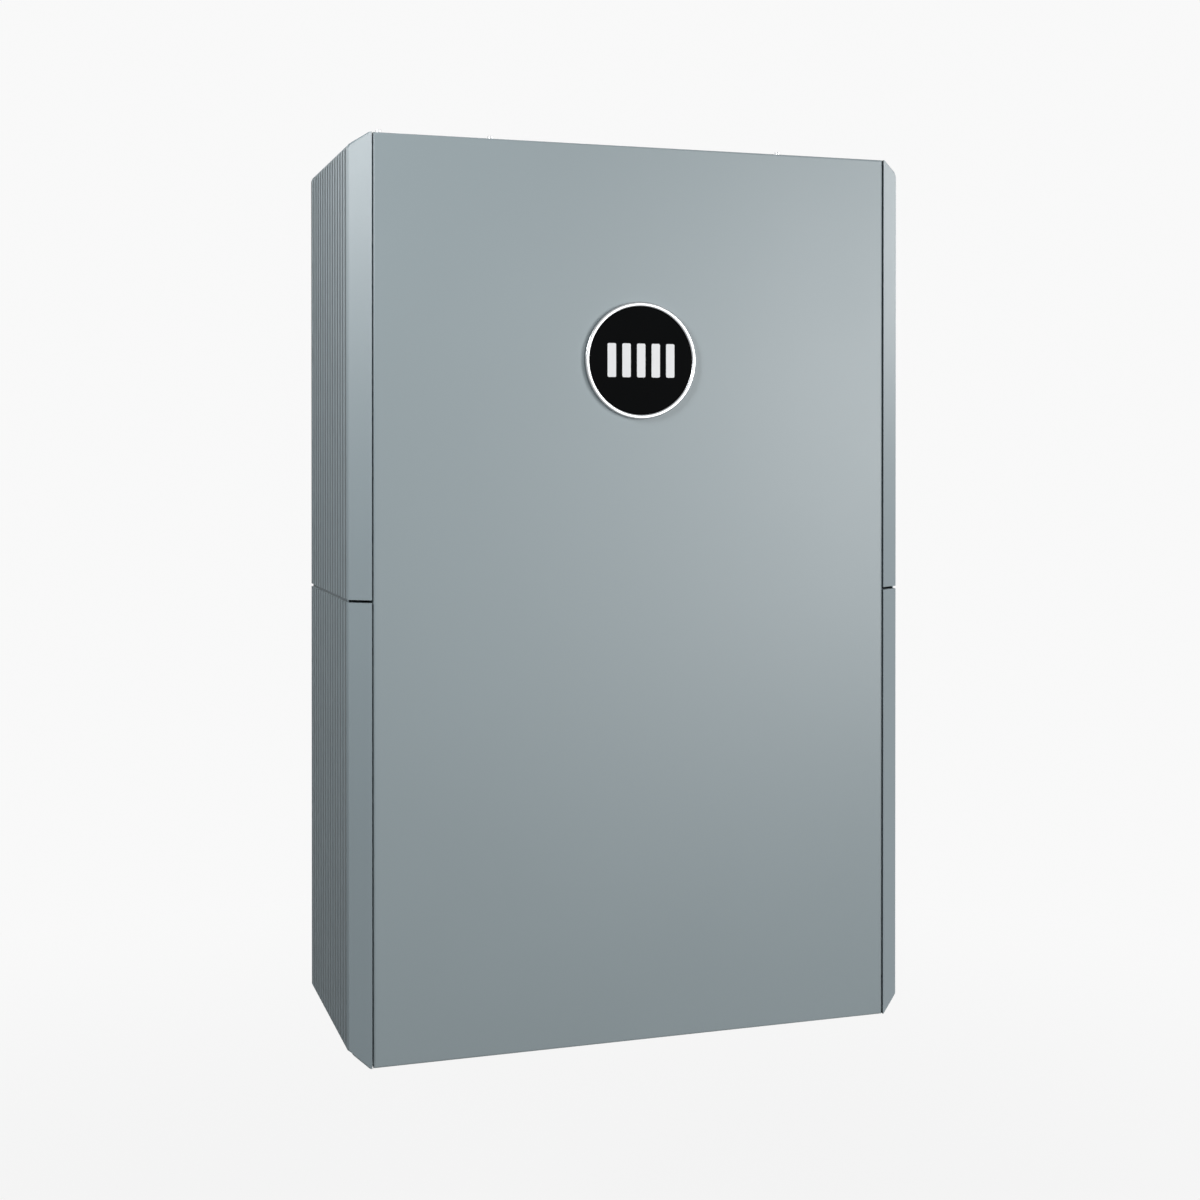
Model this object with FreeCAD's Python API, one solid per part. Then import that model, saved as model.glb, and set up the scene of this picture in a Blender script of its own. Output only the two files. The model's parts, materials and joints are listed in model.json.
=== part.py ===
import FreeCAD, Part
import math
import os

# Wall-hung home battery: folded steel tub with a sealed cell room, a flat front panel, four
# ribbed clip-fitted side covers and a wall bracket. Millimetres. +Z is up, the wall is the plane
# Y = 0 and the front faces -Y. Heights below are counted from the front panel's bottom edge;
# the saved parts are lowered so that the origin is the centre of the wall bracket's holes.

V = FreeCAD.Vector

# ---------------------------------------------------------------- whole unit
HEIGHT = 900.0             # front panel, bottom edge to top edge
FRONT_WIDTH = 541.0        # front panel across
COVER_PROUD = 23.0         # a side cover stands out this far past the front panel
BODY_DEPTH = 238.0         # front face to the back edge of the side covers
WALL_GAP = 24.0            # wall to the back of the unit
SHEET = 2.0                # steel sheet of the tub, lid and front panel
BRACKET_DROP = 120.0       # wall bracket's hole pattern below the top edge
FACE_GAP = 0.3             # small air gap between pieces that only lie against each other

FRONT_Y = -(WALL_GAP + BODY_DEPTH)
BACK_Y = -WALL_GAP
BRACKET_HEIGHT = HEIGHT - BRACKET_DROP

# ---------------------------------------------------------------- front panel
PANEL_FLANGE = 34.0        # depth of the panel's returned edges
PANEL_EDGE = 2.5           # rounding of the panel's front edges
PANEL_SCREW_X = 153.0      # panel screws left and right of the middle
PANEL_SCREW_SETBACK = 7.0  # panel screws behind the front face
BONDING_SCREW_INSET = 6.5  # earth bonding screw from the panel's left edge
PANEL_SCREW_R = 1.5
PANEL_SCREW_HOLE_R = 1.7
PANEL_SCREW_HEAD_R = 2.75
PANEL_SCREW_HEAD = 3.0
PANEL_SCREW_LENGTH = 9.0
PANEL_BRACKET_WIDTH = 12.0
PANEL_BRACKET_LEG = 26.0
PANEL_BRACKET_SHEET = 3.0

# ---------------------------------------------------------------- tub, lid and gasket
LID_SPACE = 16.0           # between the front panel and the inner lid
GASKET = 3.0               # lid gasket, pressed thickness
GASKET_WIDTH = 10.0
TUB_CLEAR = 6.5            # front panel's edge to the tub's side
RIM = 18.0                 # tub rim that carries the gasket
LID_SCREW_R = 2.5
LID_SCREW_HEAD_R = 4.5
LID_SCREW_HEAD = 2.8
LID_SCREW_LENGTH = 12.0
LID_SCREWS_ACROSS = 4
LID_SCREWS_UP = 7

LID_Y = FRONT_Y + SHEET + LID_SPACE
RIM_Y = LID_Y + SHEET + GASKET
TUB_X = FRONT_WIDTH / 2 - SHEET - TUB_CLEAR
TUB_LOW = SHEET
TUB_TOP = HEIGHT - SHEET
INNER_X = TUB_X - SHEET
INNER_BACK = BACK_Y - SHEET
INNER_LOW = TUB_LOW + SHEET

# ---------------------------------------------------------------- side covers
PANEL_GAP = 1.2            # dark gap between front panel and side cover
SEAM_HEIGHT = 449.2        # middle of the gap between upper and lower cover
SEAM_GAP = 2.7
COVER_WALL = 3.0
FRONT_BEVEL = 13.0         # depth of the plain bevel at the front
RIM_FLAT = 2.5             # level strip beside the panel, before the rim's bevel starts
TOP_BEVEL = 11.5
BOTTOM_BEVEL = 15.5
FRONT_ROUND = 4.0          # rounding between the front bevel and the ribbed side
TOP_ROUND = 8.0            # and between the top and bottom bevels and the side
BOTTOM_ROUND = 4.0
GROOVES = 15
GROOVE_PITCH = 15.2
GROOVE_FIRST = 14.5        # middle of the first groove behind the front face
GROOVE_WIDTH = 7.0
GROOVE_DEPTH = 2.0
TONGUE_SETBACK = 1.2       # lower cover's tongue in the seam, behind the ribs' faces
TONGUE_SHORT = 5.0         # tongue's ends short of the front bevel and of the back edge
STUD_R = 4.0               # stud on the cover that snaps into a clip
STUD_FIT = 0.05
CLIP_SIZE = 24.0
CLIP_DEPTH = 14.0
STUD_TIP = 2.5             # stud's end short of the tub
CLIP_FRONT = 57.0          # front clips behind the front face
CLIP_BACK = 26.0           # rear clips in front of the covers' back edge
CLIP_EDGE = 20.0           # outer clips from the top or bottom edge
CLIP_SEAM = 26.0           # inner clips from the seam

COVER_OUT = FRONT_WIDTH / 2 + COVER_PROUD
COVER_LIP = FRONT_WIDTH / 2 + PANEL_GAP
COVER_IN = TUB_X + FACE_GAP
COVER_STEP = PANEL_FLANGE + PANEL_GAP   # the cover passes behind the panel's edge here

# ---------------------------------------------------------------- wiring bays
BAY_DEPTH = 60.0
BAY_DROP = 38.0            # bay's ceiling below the top edge
BAY_TALL = 212.0
BAY_SETBACK = 22.0         # bay's front wall behind the tub's rim
BAY_LENGTH = 150.0
BAY_TOP = HEIGHT - BAY_DROP
BAY_BOTTOM = BAY_TOP - BAY_TALL
BAY_Y0 = RIM_Y + BAY_SETBACK
BAY_Y1 = BAY_Y0 + BAY_LENGTH
BAY_MID_Y = (BAY_Y0 + BAY_Y1) / 2
BAY_X = TUB_X - BAY_DEPTH  # bay's floor, seen from the side
BAY_INNER_X = BAY_X - SHEET

# ---------------------------------------------------------------- badge
BADGE_DROP = 215.3         # badge's middle below the top edge
BADGE_R = 58.75
BADGE_RING = 4.3
BADGE_PROUD = 5.5
BADGE_RECESS = 1.2
GAUGE_BARS = 5
GAUGE_BAR_WIDTH = 9.0
GAUGE_BAR_HEIGHT = 34.0
GAUGE_PITCH = 15.5
GAUGE_THICK = 0.6
LIGHT_WINDOW_MARGIN = 3.0
BOARD = 1.6                # every circuit board's thickness
LIGHT_BOARD_GAP = 4.0
LIGHT_BOARD_WIDTH = 110.0
LIGHT_BOARD_HEIGHT = 60.0
LIGHT_SPACER_R = 3.0

BADGE_HEIGHT = HEIGHT - BADGE_DROP

# ---------------------------------------------------------------- cells, terminals to the front
CABLE_R = 6.0
CABLE_SPACE = 21.2         # inner lid to the power cables
CELL_WIDTH = 207.0         # along X; along Y a cell is as long as the tub allows
CELL_THICK = 72.0          # along Z
SEPARATOR = 1.5
COLUMN_GAP = 30.0
END_PLATE = 8.0
END_PLATE_MARGIN = 18.0
RAIL_HEIGHT = 10.0
RAIL_WIDTH = 20.0
TOP_PAD = 10.0
HEATER = 1.5
INSULATION = 4.0
CELL_TERMINAL_R = 9.0
CELL_TERMINAL = 3.0
CELL_TERMINAL_PITCH = 122.0
CELL_BUSBAR = 2.5
CELL_BUSBAR_WIDTH = 24.0
SENSE_STRIP_WIDTH = 30.0
TIE_ROD_R = 4.0
TIE_ROD_FIT = 0.2
TIE_NUT_R = 7.5
TIE_NUT = 6.5
TIE_ROD_INSET = 35.0

CELL_BACK = INNER_BACK - INSULATION - HEATER
CABLE_Y = LID_Y + SHEET + CABLE_SPACE + CABLE_R
BUSBAR_Y = CABLE_Y + CABLE_R + FACE_GAP
CELL_FRONT = BUSBAR_Y + CELL_TERMINAL
PACK_LOW = INNER_LOW + RAIL_HEIGHT
CELLS_LOW = PACK_LOW + END_PLATE
ROWS = int((BAY_BOTTOM - 2 * SHEET - TOP_PAD - END_PLATE - CELLS_LOW + SEPARATOR)
           / (CELL_THICK + SEPARATOR))   # as many as fit under the wiring bays
CELLS_TOP = CELLS_LOW + ROWS * CELL_THICK + (ROWS - 1) * SEPARATOR
PACK_TOP = CELLS_TOP + END_PLATE
SHELF_LOW = PACK_TOP + TOP_PAD
CELL_X0 = COLUMN_GAP / 2
CELL_X1 = CELL_X0 + CELL_WIDTH
CELL_MID_X = (CELL_X0 + CELL_X1) / 2
SENSE_Y = BUSBAR_Y - CELL_BUSBAR

# ---------------------------------------------------------------- control room
SHELF_CABLE_GAP = 1.0      # shelf's front edge to the power cables
SPREADER = 8.0
SPREADER_X0 = -170.0
SPREADER_X1 = 40.0
SPREADER_RISE = 11.5       # spreader's lower edge above the shelf
SPREADER_DROP = 12.0       # and its upper edge below the bays' ceiling
STANDOFF = 8.0
STANDOFF_R = 3.0
BMS_MARGIN = 10.0
TRANSISTORS = 10
TRANSISTOR_PITCH = 18.0
TRANSISTOR_WIDTH = 10.8
TRANSISTOR_TALL = 15.0
TRANSISTOR_DEPTH = 4.5
TRANSISTOR_RISES = (36.0, 66.0)   # the two rows above the board's lower edge
CAPACITORS = 5
CAPACITOR_R = 6.0
CAPACITOR = 18.0
CAPACITOR_PITCH = 18.0
CAPACITOR_START = 30.0     # first capacitor from the board's left edge
CAPACITOR_DROP = 24.0      # capacitors below the board's upper edge
CHIP = 2.0                 # thickness of every chip
CONTROLLER = 22.0          # controller chip's edge length
CONTROLLER_START = 40.0
DRIVERS = 3                # gate-driver chips
DRIVER_WIDTH = 12.0
DRIVER_TALL = 10.0
DRIVER_START = 90.0
DRIVER_PITCH = 26.0
CHIP_RISE = 111.0          # chips' middles above the board's lower edge
PLUG_SOCKETS = 4
PLUG_SOCKET_WIDTH = 28.0
PLUG_SOCKET_TALL = 12.0
PLUG_SOCKET_DEPTH = 9.0
PLUG_SOCKET_START = 16.0
PLUG_SOCKET_PITCH = 42.0
PLUG_SOCKET_RISE = 8.0
POWER_BAR = 4.0            # thickness of the copper links
POWER_BAR_WIDTH = 20.0
POWER_STUD_R = 4.0
POWER_NUT_R = 7.5
POWER_NUT = 6.5
FUSE_R = 13.0
FUSE_LENGTH = 46.0
FUSE_TAB = 22.0
SHUNT_X = 110.0
SHUNT_BLOCK = 24.0
SHUNT_STRIP = 40.0
SHUNT_DEPTH = 10.0
SHUNT_STRIPS = 3           # resistance strips between the shunt's blocks
SHUNT_STRIP_START = 2.0
SHUNT_STRIP_TALL = 3.0
SHUNT_STRIP_PITCH = 6.5
SHUNT_STRIP_SEAT = 4.0     # strips behind the blocks' front and in front of their back
BASE_BLOCK = 20.0          # insulating blocks under fuse and shunt
BASE_BLOCK_SHORT = 2.0     # a block is this much narrower than what it carries
CABLE_BEND = 26.0
CABLE_CROSS = 90.0         # negative cable crosses this far in front of the tub's back
LUG = 3.0                  # crimp lug's plate
LUG_WIDTH = 16.0
LUG_LENGTH = 28.0
CANISTER_R = 11.0
CANISTER_LENGTH = 110.0
CANISTER_CLIP = 2.0
CANISTER_CLIP_WIDTH = 10.0
CANISTER_CLIP_INSET = 22.0 # clip's middle from the tube's end
CANISTER_BACK = 70.0       # canisters' middle in front of the tub's back
CANISTER_STARTS = (-180.0, 15.0)

SPREADER_Z0 = SHELF_LOW + SHEET + SPREADER_RISE
SPREADER_Z1 = BAY_TOP - SPREADER_DROP

# ---------------------------------------------------------------- right bay, power side
BREAKER_WIDTH = 54.0
BREAKER_TALL = 86.0
BREAKER_DEPTH = 56.0
BREAKER_NOSE = 8.0
BREAKER_NOSE_TALL = 46.0
BREAKER_DROP = 62.0        # breaker's middle below the bay's ceiling
BREAKER_STUD_RISE = 26.0   # breaker's studs above and below its middle
BREAKER_Y = BAY_Y0 + 44.0
LEVER_WIDTH = 34.0
LEVER_R = 7.0
LEVER_GAP = 0.4
LEVER_REACH = 20.0
LEVER_THICK = 6.0
LEVER_TILT = 32.0
TRUNNION_R = 2.0
TRUNNION_FIT = 0.05
TRUNNION = 4.0
TERMINAL_BLOCK = 38.0
TERMINAL_BLOCK_DEPTH = 20.0
TERMINAL_DROP = 110.0      # terminals below the breaker's middle
TERMINAL_SHANK_R = 5.0     # terminal stud behind its collar
TERMINAL_NUT_R = 9.8
TERMINAL_PITCH = 62.0
TERMINAL_STUD = 24.0       # stud standing out of its block
DIVIDER = 3.0
DIVIDER_DEPTH = 44.0

BREAKER_HEIGHT = BAY_TOP - BREAKER_DROP
TERMINAL_HEIGHT = BREAKER_HEIGHT - TERMINAL_DROP
FUSE_HEIGHT = BREAKER_HEIGHT + BREAKER_STUD_RISE
SHUNT_HEIGHT = TERMINAL_HEIGHT

# ---------------------------------------------------------------- left bay, signal side
PORT_PLATE = 2.0
PORT_PLATE_CLEAR = 1.0     # plate's edge to the bay's wall
PORT_WINDOW_MARGIN = 12.0
SIGNAL_BOARD_MARGIN = 15.0
PORTS = 3
PORT_PITCH = 26.0
PORT_RISE = 50.0           # sockets above the bay's bottom
PORT_BODY = 16.0
PORT_DEPTH = 18.0
PORT_MOUTH_WIDTH = 11.8
PORT_MOUTH_TALL = 8.0
PORT_MOUTH_DEPTH = 14.0
PORT_PROUD = 1.0
BUTTON_RISE = 52.0         # buttons above the sockets
POWER_BUTTON_R = 8.0
POWER_BUTTON_PROUD = 3.0
POWER_BEZEL_R = 11.0
POWER_BEZEL = 2.0
BUTTON_FIT = 0.05
BUTTON_STEM = 12.0
RESET_BUTTON_R = 3.0
RESET_BUTTON_PROUD = 1.5
RESET_BEZEL_R = 5.0
BUTTON_PITCH = 44.0
DISPLAY_WIDTH = 72.0
DISPLAY_TALL = 34.0
DISPLAY_FRAME = 4.0
DISPLAY_RISE = 34.0        # display above the lamps
LAMPS = 5
LAMP_PITCH = 13.0
LAMP_R = 2.0
LAMP_RISE = 36.0           # lamps above the buttons

PORT_HEIGHT = BAY_BOTTOM + PORT_RISE
BUTTON_HEIGHT = PORT_HEIGHT + BUTTON_RISE
LAMP_HEIGHT = BUTTON_HEIGHT + LAMP_RISE
DISPLAY_HEIGHT = LAMP_HEIGHT + DISPLAY_RISE

# ---------------------------------------------------------------- outside fittings
GROMMET_R = 7.0            # power cable bore
SIGNAL_GROMMET_R = 4.0
GROMMET_WALL = 3.0
GROMMET_FLANGE = 2.0
GROMMET_LIP = 1.2
ENTRY_PLATE = 2.0
ENTRY_HEIGHT = 26.0
ENTRY_REACH = 25.0
ENTRY_FRONT = 70.0         # entry plate's front end behind the front face
ENTRY_LENGTH = 70.0
ENTRY_LEG = 24.0
GROMMET_PITCH = 32.0
HANDLE_R = 5.0
HANDLE_STAND = 20.0
HANDLE_SPAN = 84.0
HANDLE_HEIGHT = 250.0
HANDLE_BACK = 40.0
HANDLE_FOOT_R = 10.0
HANDLE_FOOT = 3.0
EARTH_STUD_R = 3.0
EARTH_STUD = 16.0
EARTH_HEIGHT = 96.0
EARTH_COLLAR_R = 5.5
EARTH_COLLAR = 4.0
VENT_R = 10.0
VENT = 7.0
VENT_ROUND = 1.5
VENT_NECK_R = 6.0

# ---------------------------------------------------------------- wall bracket
BRACKET_WIDTH = 400.0
BRACKET_SHEET = 3.0
BRACKET_TALL = 84.0
BRACKET_HOLE_R = 5.0
BRACKET_HOLE_DX = 320.0
BRACKET_HOLE_DZ = 50.0
HOOK_OFFSET = 8.0          # bracket's hook leg in front of the wall leg
HOOK_TALL = 22.0
HANGER_WIDTH = 380.0
HANGER_DROP = 46.0
HANGER_BOLTS = 4
HANGER_BOLT_INSET = 30.0   # outer bolts from the rail's ends
HANGER_BOLT_RISE = 10.0    # bolts above the rail's lower edge
HANGER_BOLT_R = 4.0
HANGER_HEAD_R = 6.5
HANGER_HEAD = 4.0
LOCK_SCREW_R = 2.5
LOCK_SCREW_HEAD = 3.0
FOOT_R = 14.0
FOOT_X = 180.0
FOOT_HEIGHT = 60.0


# ---------------------------------------------------------------- helpers
def box(x0, x1, y0, y1, z0, z1):
    """A box between the given planes, in any order."""
    low = V(min(x0, x1), min(y0, y1), min(z0, z1))
    return Part.makeBox(abs(x1 - x0), abs(y1 - y0), abs(z1 - z0), low)


def rod(x, y, z, radius, length, axis):
    """A round bar from a point along an axis."""
    return Part.makeCylinder(radius, length, V(x, y, z), V(*axis))


def tube(x, y, z, outer, inner, length, axis):
    """A round sleeve from a point along an axis."""
    return rod(x, y, z, outer, length, axis).cut(rod(x, y, z, inner, length, axis))


def hexagon(x, y, z, radius, length, axis):
    """A hexagonal nut blank from a point along an axis."""
    flat = Part.Wire(Part.makePolygon([
        V(radius * math.cos(math.radians(60 * k)), radius * math.sin(math.radians(60 * k)), 0)
        for k in range(7)]))
    prism = Part.Face(flat).extrude(V(0, 0, length))
    prism.Placement = FreeCAD.Placement(V(x, y, z), FreeCAD.Rotation(V(0, 0, 1), V(*axis)))
    return prism


def nut(x, y, z, radius, bore, length, axis):
    """A hexagonal nut round a threaded bar."""
    return hexagon(x, y, z, radius, length, axis).cut(rod(x, y, z, bore, length, axis))


def rounded_outline(corners):
    """A closed face in (u, v) from corners (u, v, radius) in order, straight between them."""
    edges = []
    ends = []
    count = len(corners)
    for k in range(count):
        here = V(corners[k][0], corners[k][1], 0)
        before = V(corners[k - 1][0], corners[k - 1][1], 0)
        after = V(corners[(k + 1) % count][0], corners[(k + 1) % count][1], 0)
        radius = corners[k][2]
        if radius == 0:
            ends.append((here, here))
            continue
        to_before = (before - here).normalize()
        to_after = (after - here).normalize()
        half = to_before.getAngle(to_after) / 2
        back = radius / math.tan(half)
        middle = (to_before + to_after).normalize()
        centre = here + middle * (radius / math.sin(half))
        start = here + to_before * back
        stop = here + to_after * back
        edges.append(Part.Arc(start, centre - middle * radius, stop).toShape())
        ends.append((start, stop))
    for k in range(count):
        edges.append(Part.LineSegment(ends[k - 1][1], ends[k][0]).toShape())
    return Part.Face(Part.Wire(Part.__sortEdges__(edges)))


def in_plan(face, low, high):
    """An outline drawn in (X, depth behind the front face), raised from one height to another."""
    solid = face.extrude(V(0, 0, high - low))
    solid.translate(V(0, FRONT_Y, low))
    return solid


def in_elevation(face, start, stop, edge, upwards):
    """An outline drawn in (X, distance from the top or bottom edge), run along Y."""
    solid = face.extrude(V(0, 0, stop - start))
    solid.rotate(V(0, 0, 0), V(1, 0, 0), 90)
    solid = solid.mirror(V(0, 0, 0), V(0, 1, 0))
    if not upwards:
        solid = solid.mirror(V(0, 0, 0), V(0, 0, 1))
    solid.translate(V(0, start, edge))
    return solid


def other_side(shape):
    """The mirror image on the other side of the middle plane."""
    return shape.mirror(V(0, 0, 0), V(1, 0, 0))


def group(shapes):
    """Separate solids that share one name."""
    return Part.makeCompound(shapes)


def save(node, shape):
    """One sub-part to its own file, with the origin moved to the wall bracket."""
    lowered = shape.copy()
    lowered.translate(V(0, 0, -BRACKET_HEIGHT))
    lowered.exportStep("parts/" + node + ".step")


# ---------------------------------------------------------------- enclosure
def front_panel():
    """Flat panel with returned edges, screw holes and the light window behind the badge."""
    half = FRONT_WIDTH / 2
    blank = box(-half, half, FRONT_Y, FRONT_Y + PANEL_FLANGE, 0, HEIGHT)
    front_edges = [e for e in blank.Edges if abs(e.CenterOfMass.y - FRONT_Y) < 0.01]
    shell = blank.makeFillet(PANEL_EDGE, front_edges)
    shell = shell.cut(box(-half + SHEET, half - SHEET, FRONT_Y + SHEET, FRONT_Y + PANEL_FLANGE,
                          SHEET, HEIGHT - SHEET))
    window_x = gauge_half() + LIGHT_WINDOW_MARGIN
    window_z = GAUGE_BAR_HEIGHT / 2 + LIGHT_WINDOW_MARGIN
    shell = shell.cut(box(-window_x, window_x, FRONT_Y, FRONT_Y + SHEET,
                          BADGE_HEIGHT - window_z, BADGE_HEIGHT + window_z))
    for x in panel_screw_xs():
        shell = shell.cut(rod(x, screw_y(), HEIGHT, PANEL_SCREW_HOLE_R, SHEET, (0, 0, -1)))
    return shell


def screw_y():
    """Depth of the panel screws."""
    return FRONT_Y + PANEL_SCREW_SETBACK


def panel_screw_xs():
    """Screws through the panel's top edge: the earth bonding screw and the two that hold it."""
    return (-FRONT_WIDTH / 2 + BONDING_SCREW_INSET, -PANEL_SCREW_X, PANEL_SCREW_X)


def panel_screw(x):
    """A socket-head screw standing on the panel's top edge."""
    head = rod(x, screw_y(), HEIGHT, PANEL_SCREW_HEAD_R, PANEL_SCREW_HEAD, (0, 0, 1))
    shank = rod(x, screw_y(), HEIGHT, PANEL_SCREW_R, PANEL_SCREW_LENGTH, (0, 0, -1))
    socket = hexagon(x, screw_y(), HEIGHT + PANEL_SCREW_HEAD, PANEL_SCREW_R,
                     PANEL_SCREW_HEAD / 2, (0, 0, -1))
    return head.fuse(shank).cut(socket)


def panel_bracket(x, edge, upwards):
    """An angle on the lid whose tab lies inside the panel's top or bottom edge."""
    turn = 1 if upwards else -1
    half = min(PANEL_BRACKET_WIDTH, FRONT_WIDTH / 2 - SHEET - abs(x))
    tab = box(x - half, x + half, FRONT_Y + SHEET + FACE_GAP, LID_Y, edge,
              edge + turn * PANEL_BRACKET_SHEET)
    leg = box(x - half, x + half, LID_Y - PANEL_BRACKET_SHEET, LID_Y, edge,
              edge + turn * PANEL_BRACKET_LEG)
    return tab.fuse(leg)


def panel_brackets():
    """Drilled angles under the screws of the top edge, and two plain guides for the bottom one."""
    brackets = []
    for x in panel_screw_xs():
        bracket = panel_bracket(x, HEIGHT - SHEET, False)
        brackets.append(bracket.cut(panel_screw(x)))
    for x in (-PANEL_SCREW_X, PANEL_SCREW_X):
        brackets.append(panel_bracket(x, SHEET, True))
    return group(brackets)


def tub():
    """Folded rear box: back, four sides, an inward rim and a window for each wiring bay."""
    shell = box(-TUB_X, TUB_X, RIM_Y, BACK_Y, TUB_LOW, TUB_TOP)
    shell = shell.cut(box(-INNER_X, INNER_X, RIM_Y + SHEET, INNER_BACK, INNER_LOW, TUB_TOP - SHEET))
    mouth = TUB_X - RIM
    shell = shell.cut(box(-mouth, mouth, RIM_Y, RIM_Y + SHEET, TUB_LOW + RIM, TUB_TOP - RIM))
    for side in (-1, 1):
        shell = shell.cut(box(side * INNER_X, side * TUB_X, BAY_Y0 - SHEET, BAY_Y1 + SHEET,
                              BAY_BOTTOM - SHEET, BAY_TOP + SHEET))
    for x, z in lid_screw_places():
        shell = shell.cut(rod(x, RIM_Y, z, LID_SCREW_R, SHEET, (0, 1, 0)))
    shell = shell.cut(rod(vent_x(), vent_y(), TUB_LOW, VENT_NECK_R, SHEET, (0, 0, 1)))
    for x in hanger_bolt_places():
        shell = shell.cut(rod(x, BACK_Y, hanger_bolt_height(), HANGER_BOLT_R, SHEET, (0, -1, 0)))
    return shell


def lid_screw_places():
    """(x, height) of the lid screws, evenly round the middle line of the rim."""
    inset = RIM / 2
    across = 2 * (TUB_X - inset) / (LID_SCREWS_ACROSS - 1)
    up = (TUB_TOP - TUB_LOW - 2 * inset) / (LID_SCREWS_UP - 1)
    places = []
    for k in range(LID_SCREWS_ACROSS):
        for z in (TUB_LOW + inset, TUB_TOP - inset):
            places.append((-TUB_X + inset + k * across, z))
    for k in range(1, LID_SCREWS_UP - 1):
        for x in (-TUB_X + inset, TUB_X - inset):
            places.append((x, TUB_LOW + inset + k * up))
    return places


def lid():
    """Flat sealing lid with screw holes and a hole for the badge board's lead."""
    plate = box(-TUB_X, TUB_X, LID_Y, LID_Y + SHEET, TUB_LOW, TUB_TOP)
    for x, z in lid_screw_places():
        plate = plate.cut(rod(x, LID_Y, z, LID_SCREW_R, SHEET, (0, 1, 0)))
    return plate.cut(rod(0, LID_Y, BADGE_HEIGHT, LIGHT_SPACER_R, SHEET, (0, 1, 0)))


def lid_gasket():
    """Rubber ring between the lid and the tub's rim, pierced by the screws."""
    inset = (RIM - GASKET_WIDTH) / 2
    outer = TUB_X - inset
    ring = box(-outer, outer, LID_Y + SHEET, RIM_Y, TUB_LOW + inset, TUB_TOP - inset)
    inner = outer - GASKET_WIDTH
    low = TUB_LOW + inset + GASKET_WIDTH
    high = TUB_TOP - inset - GASKET_WIDTH
    ring = ring.cut(box(-inner, inner, LID_Y + SHEET, RIM_Y, low, high))
    for x, z in lid_screw_places():
        ring = ring.cut(rod(x, LID_Y + SHEET, z, LID_SCREW_R, GASKET, (0, 1, 0)))
    return ring


def lid_screw(x, z):
    """A pan-head screw through lid, gasket and rim."""
    head = rod(x, LID_Y, z, LID_SCREW_HEAD_R, LID_SCREW_HEAD, (0, -1, 0))
    return head.fuse(rod(x, LID_Y, z, LID_SCREW_R, LID_SCREW_LENGTH, (0, 1, 0)))


def wiring_bay():
    """Five-sided pocket let into the tub's right side."""
    pocket = box(BAY_INNER_X, TUB_X, BAY_Y0 - SHEET, BAY_Y1 + SHEET,
                 BAY_BOTTOM - SHEET, BAY_TOP + SHEET)
    return pocket.cut(box(BAY_X, TUB_X, BAY_Y0, BAY_Y1, BAY_BOTTOM, BAY_TOP))


def power_bay():
    """The right bay, drilled for the studs of terminals and breaker."""
    bay = wiring_bay()
    for y in terminal_ys():
        bay = bay.cut(terminal_shank(y))
    for z in breaker_stud_heights():
        bay = bay.cut(rod(BAY_INNER_X, BREAKER_Y, z, POWER_STUD_R, SHEET, (1, 0, 0)))
    return bay


# ---------------------------------------------------------------- side covers
def cover_plan(inset, inner_x, length):
    """Plan outline of a cover, drawn in by a wall's thickness where inset is not zero."""
    slope = FRONT_BEVEL / (COVER_OUT - COVER_LIP)
    drop = inset * math.hypot(1, slope)
    step = COVER_STEP + inset
    back = length - inset
    rounding = max(FRONT_ROUND - inset, 0)
    return rounded_outline([
        (COVER_LIP + inset, inset * slope + drop, 0),
        (COVER_OUT - inset, FRONT_BEVEL - inset * slope + drop, rounding),
        (COVER_OUT - inset, back, 0),
        (inner_x, back, 0),
        (inner_x, step, 0),
        (COVER_LIP + inset, step, 0)])


def cover_rim(inset, inner_x, rim, reach):
    """Elevation outline of a cover, from its rim, a bevel and its rounding, to the seam."""
    bevel, outer_round = rim
    start = COVER_LIP + RIM_FLAT
    slope = bevel / (COVER_OUT - start)
    drop = inset * math.hypot(1, slope)
    rounding = max(outer_round - inset, 0)
    return rounded_outline([
        (inner_x, inset, 0),
        (start + (inset - drop) / slope, inset, 0),
        (COVER_OUT - inset, bevel - inset * slope + drop, rounding),
        (COVER_OUT - inset, reach - inset, 0),
        (inner_x, reach - inset, 0)])


def cover_body(inset, inner_x, rim, reach, edge, upwards):
    """A cover's outer block, or with an inset the block of its hollow."""
    plan = in_plan(cover_plan(inset, inner_x, BODY_DEPTH), 0, HEIGHT)
    side = in_elevation(cover_rim(inset, inner_x, rim, reach), FRONT_Y, BACK_Y, edge, upwards)
    return plan.common(side)


def cover_grooves(rim, reach, edge, upwards):
    """Shallow upright grooves that also bend in over the bevelled rim."""
    deep = cover_rim(GROOVE_DEPTH, COVER_LIP, rim, reach + GROOVE_DEPTH)
    outside = COVER_OUT + GROOVE_DEPTH
    grooves = []
    for k in range(GROOVES):
        middle = FRONT_Y + GROOVE_FIRST + k * GROOVE_PITCH
        start = middle - GROOVE_WIDTH / 2
        stop = min(middle + GROOVE_WIDTH / 2, BACK_Y)
        low, high = (edge, edge + reach) if upwards else (edge - reach, edge)
        band = box(COVER_LIP, outside, start, stop, low, high)
        grooves.append(band.cut(in_elevation(deep, start, stop, edge, upwards)))
    return group(grooves)


def clip_places(edge, upwards):
    """(y, height) of the four clips of one cover."""
    turn = 1 if upwards else -1
    seam = SEAM_HEIGHT - turn * CLIP_SEAM
    rows = []
    for y in (FRONT_Y + CLIP_FRONT, BACK_Y - CLIP_BACK):
        rows.append((y, edge + turn * CLIP_EDGE))
        rows.append((y, seam))
    return rows


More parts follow.
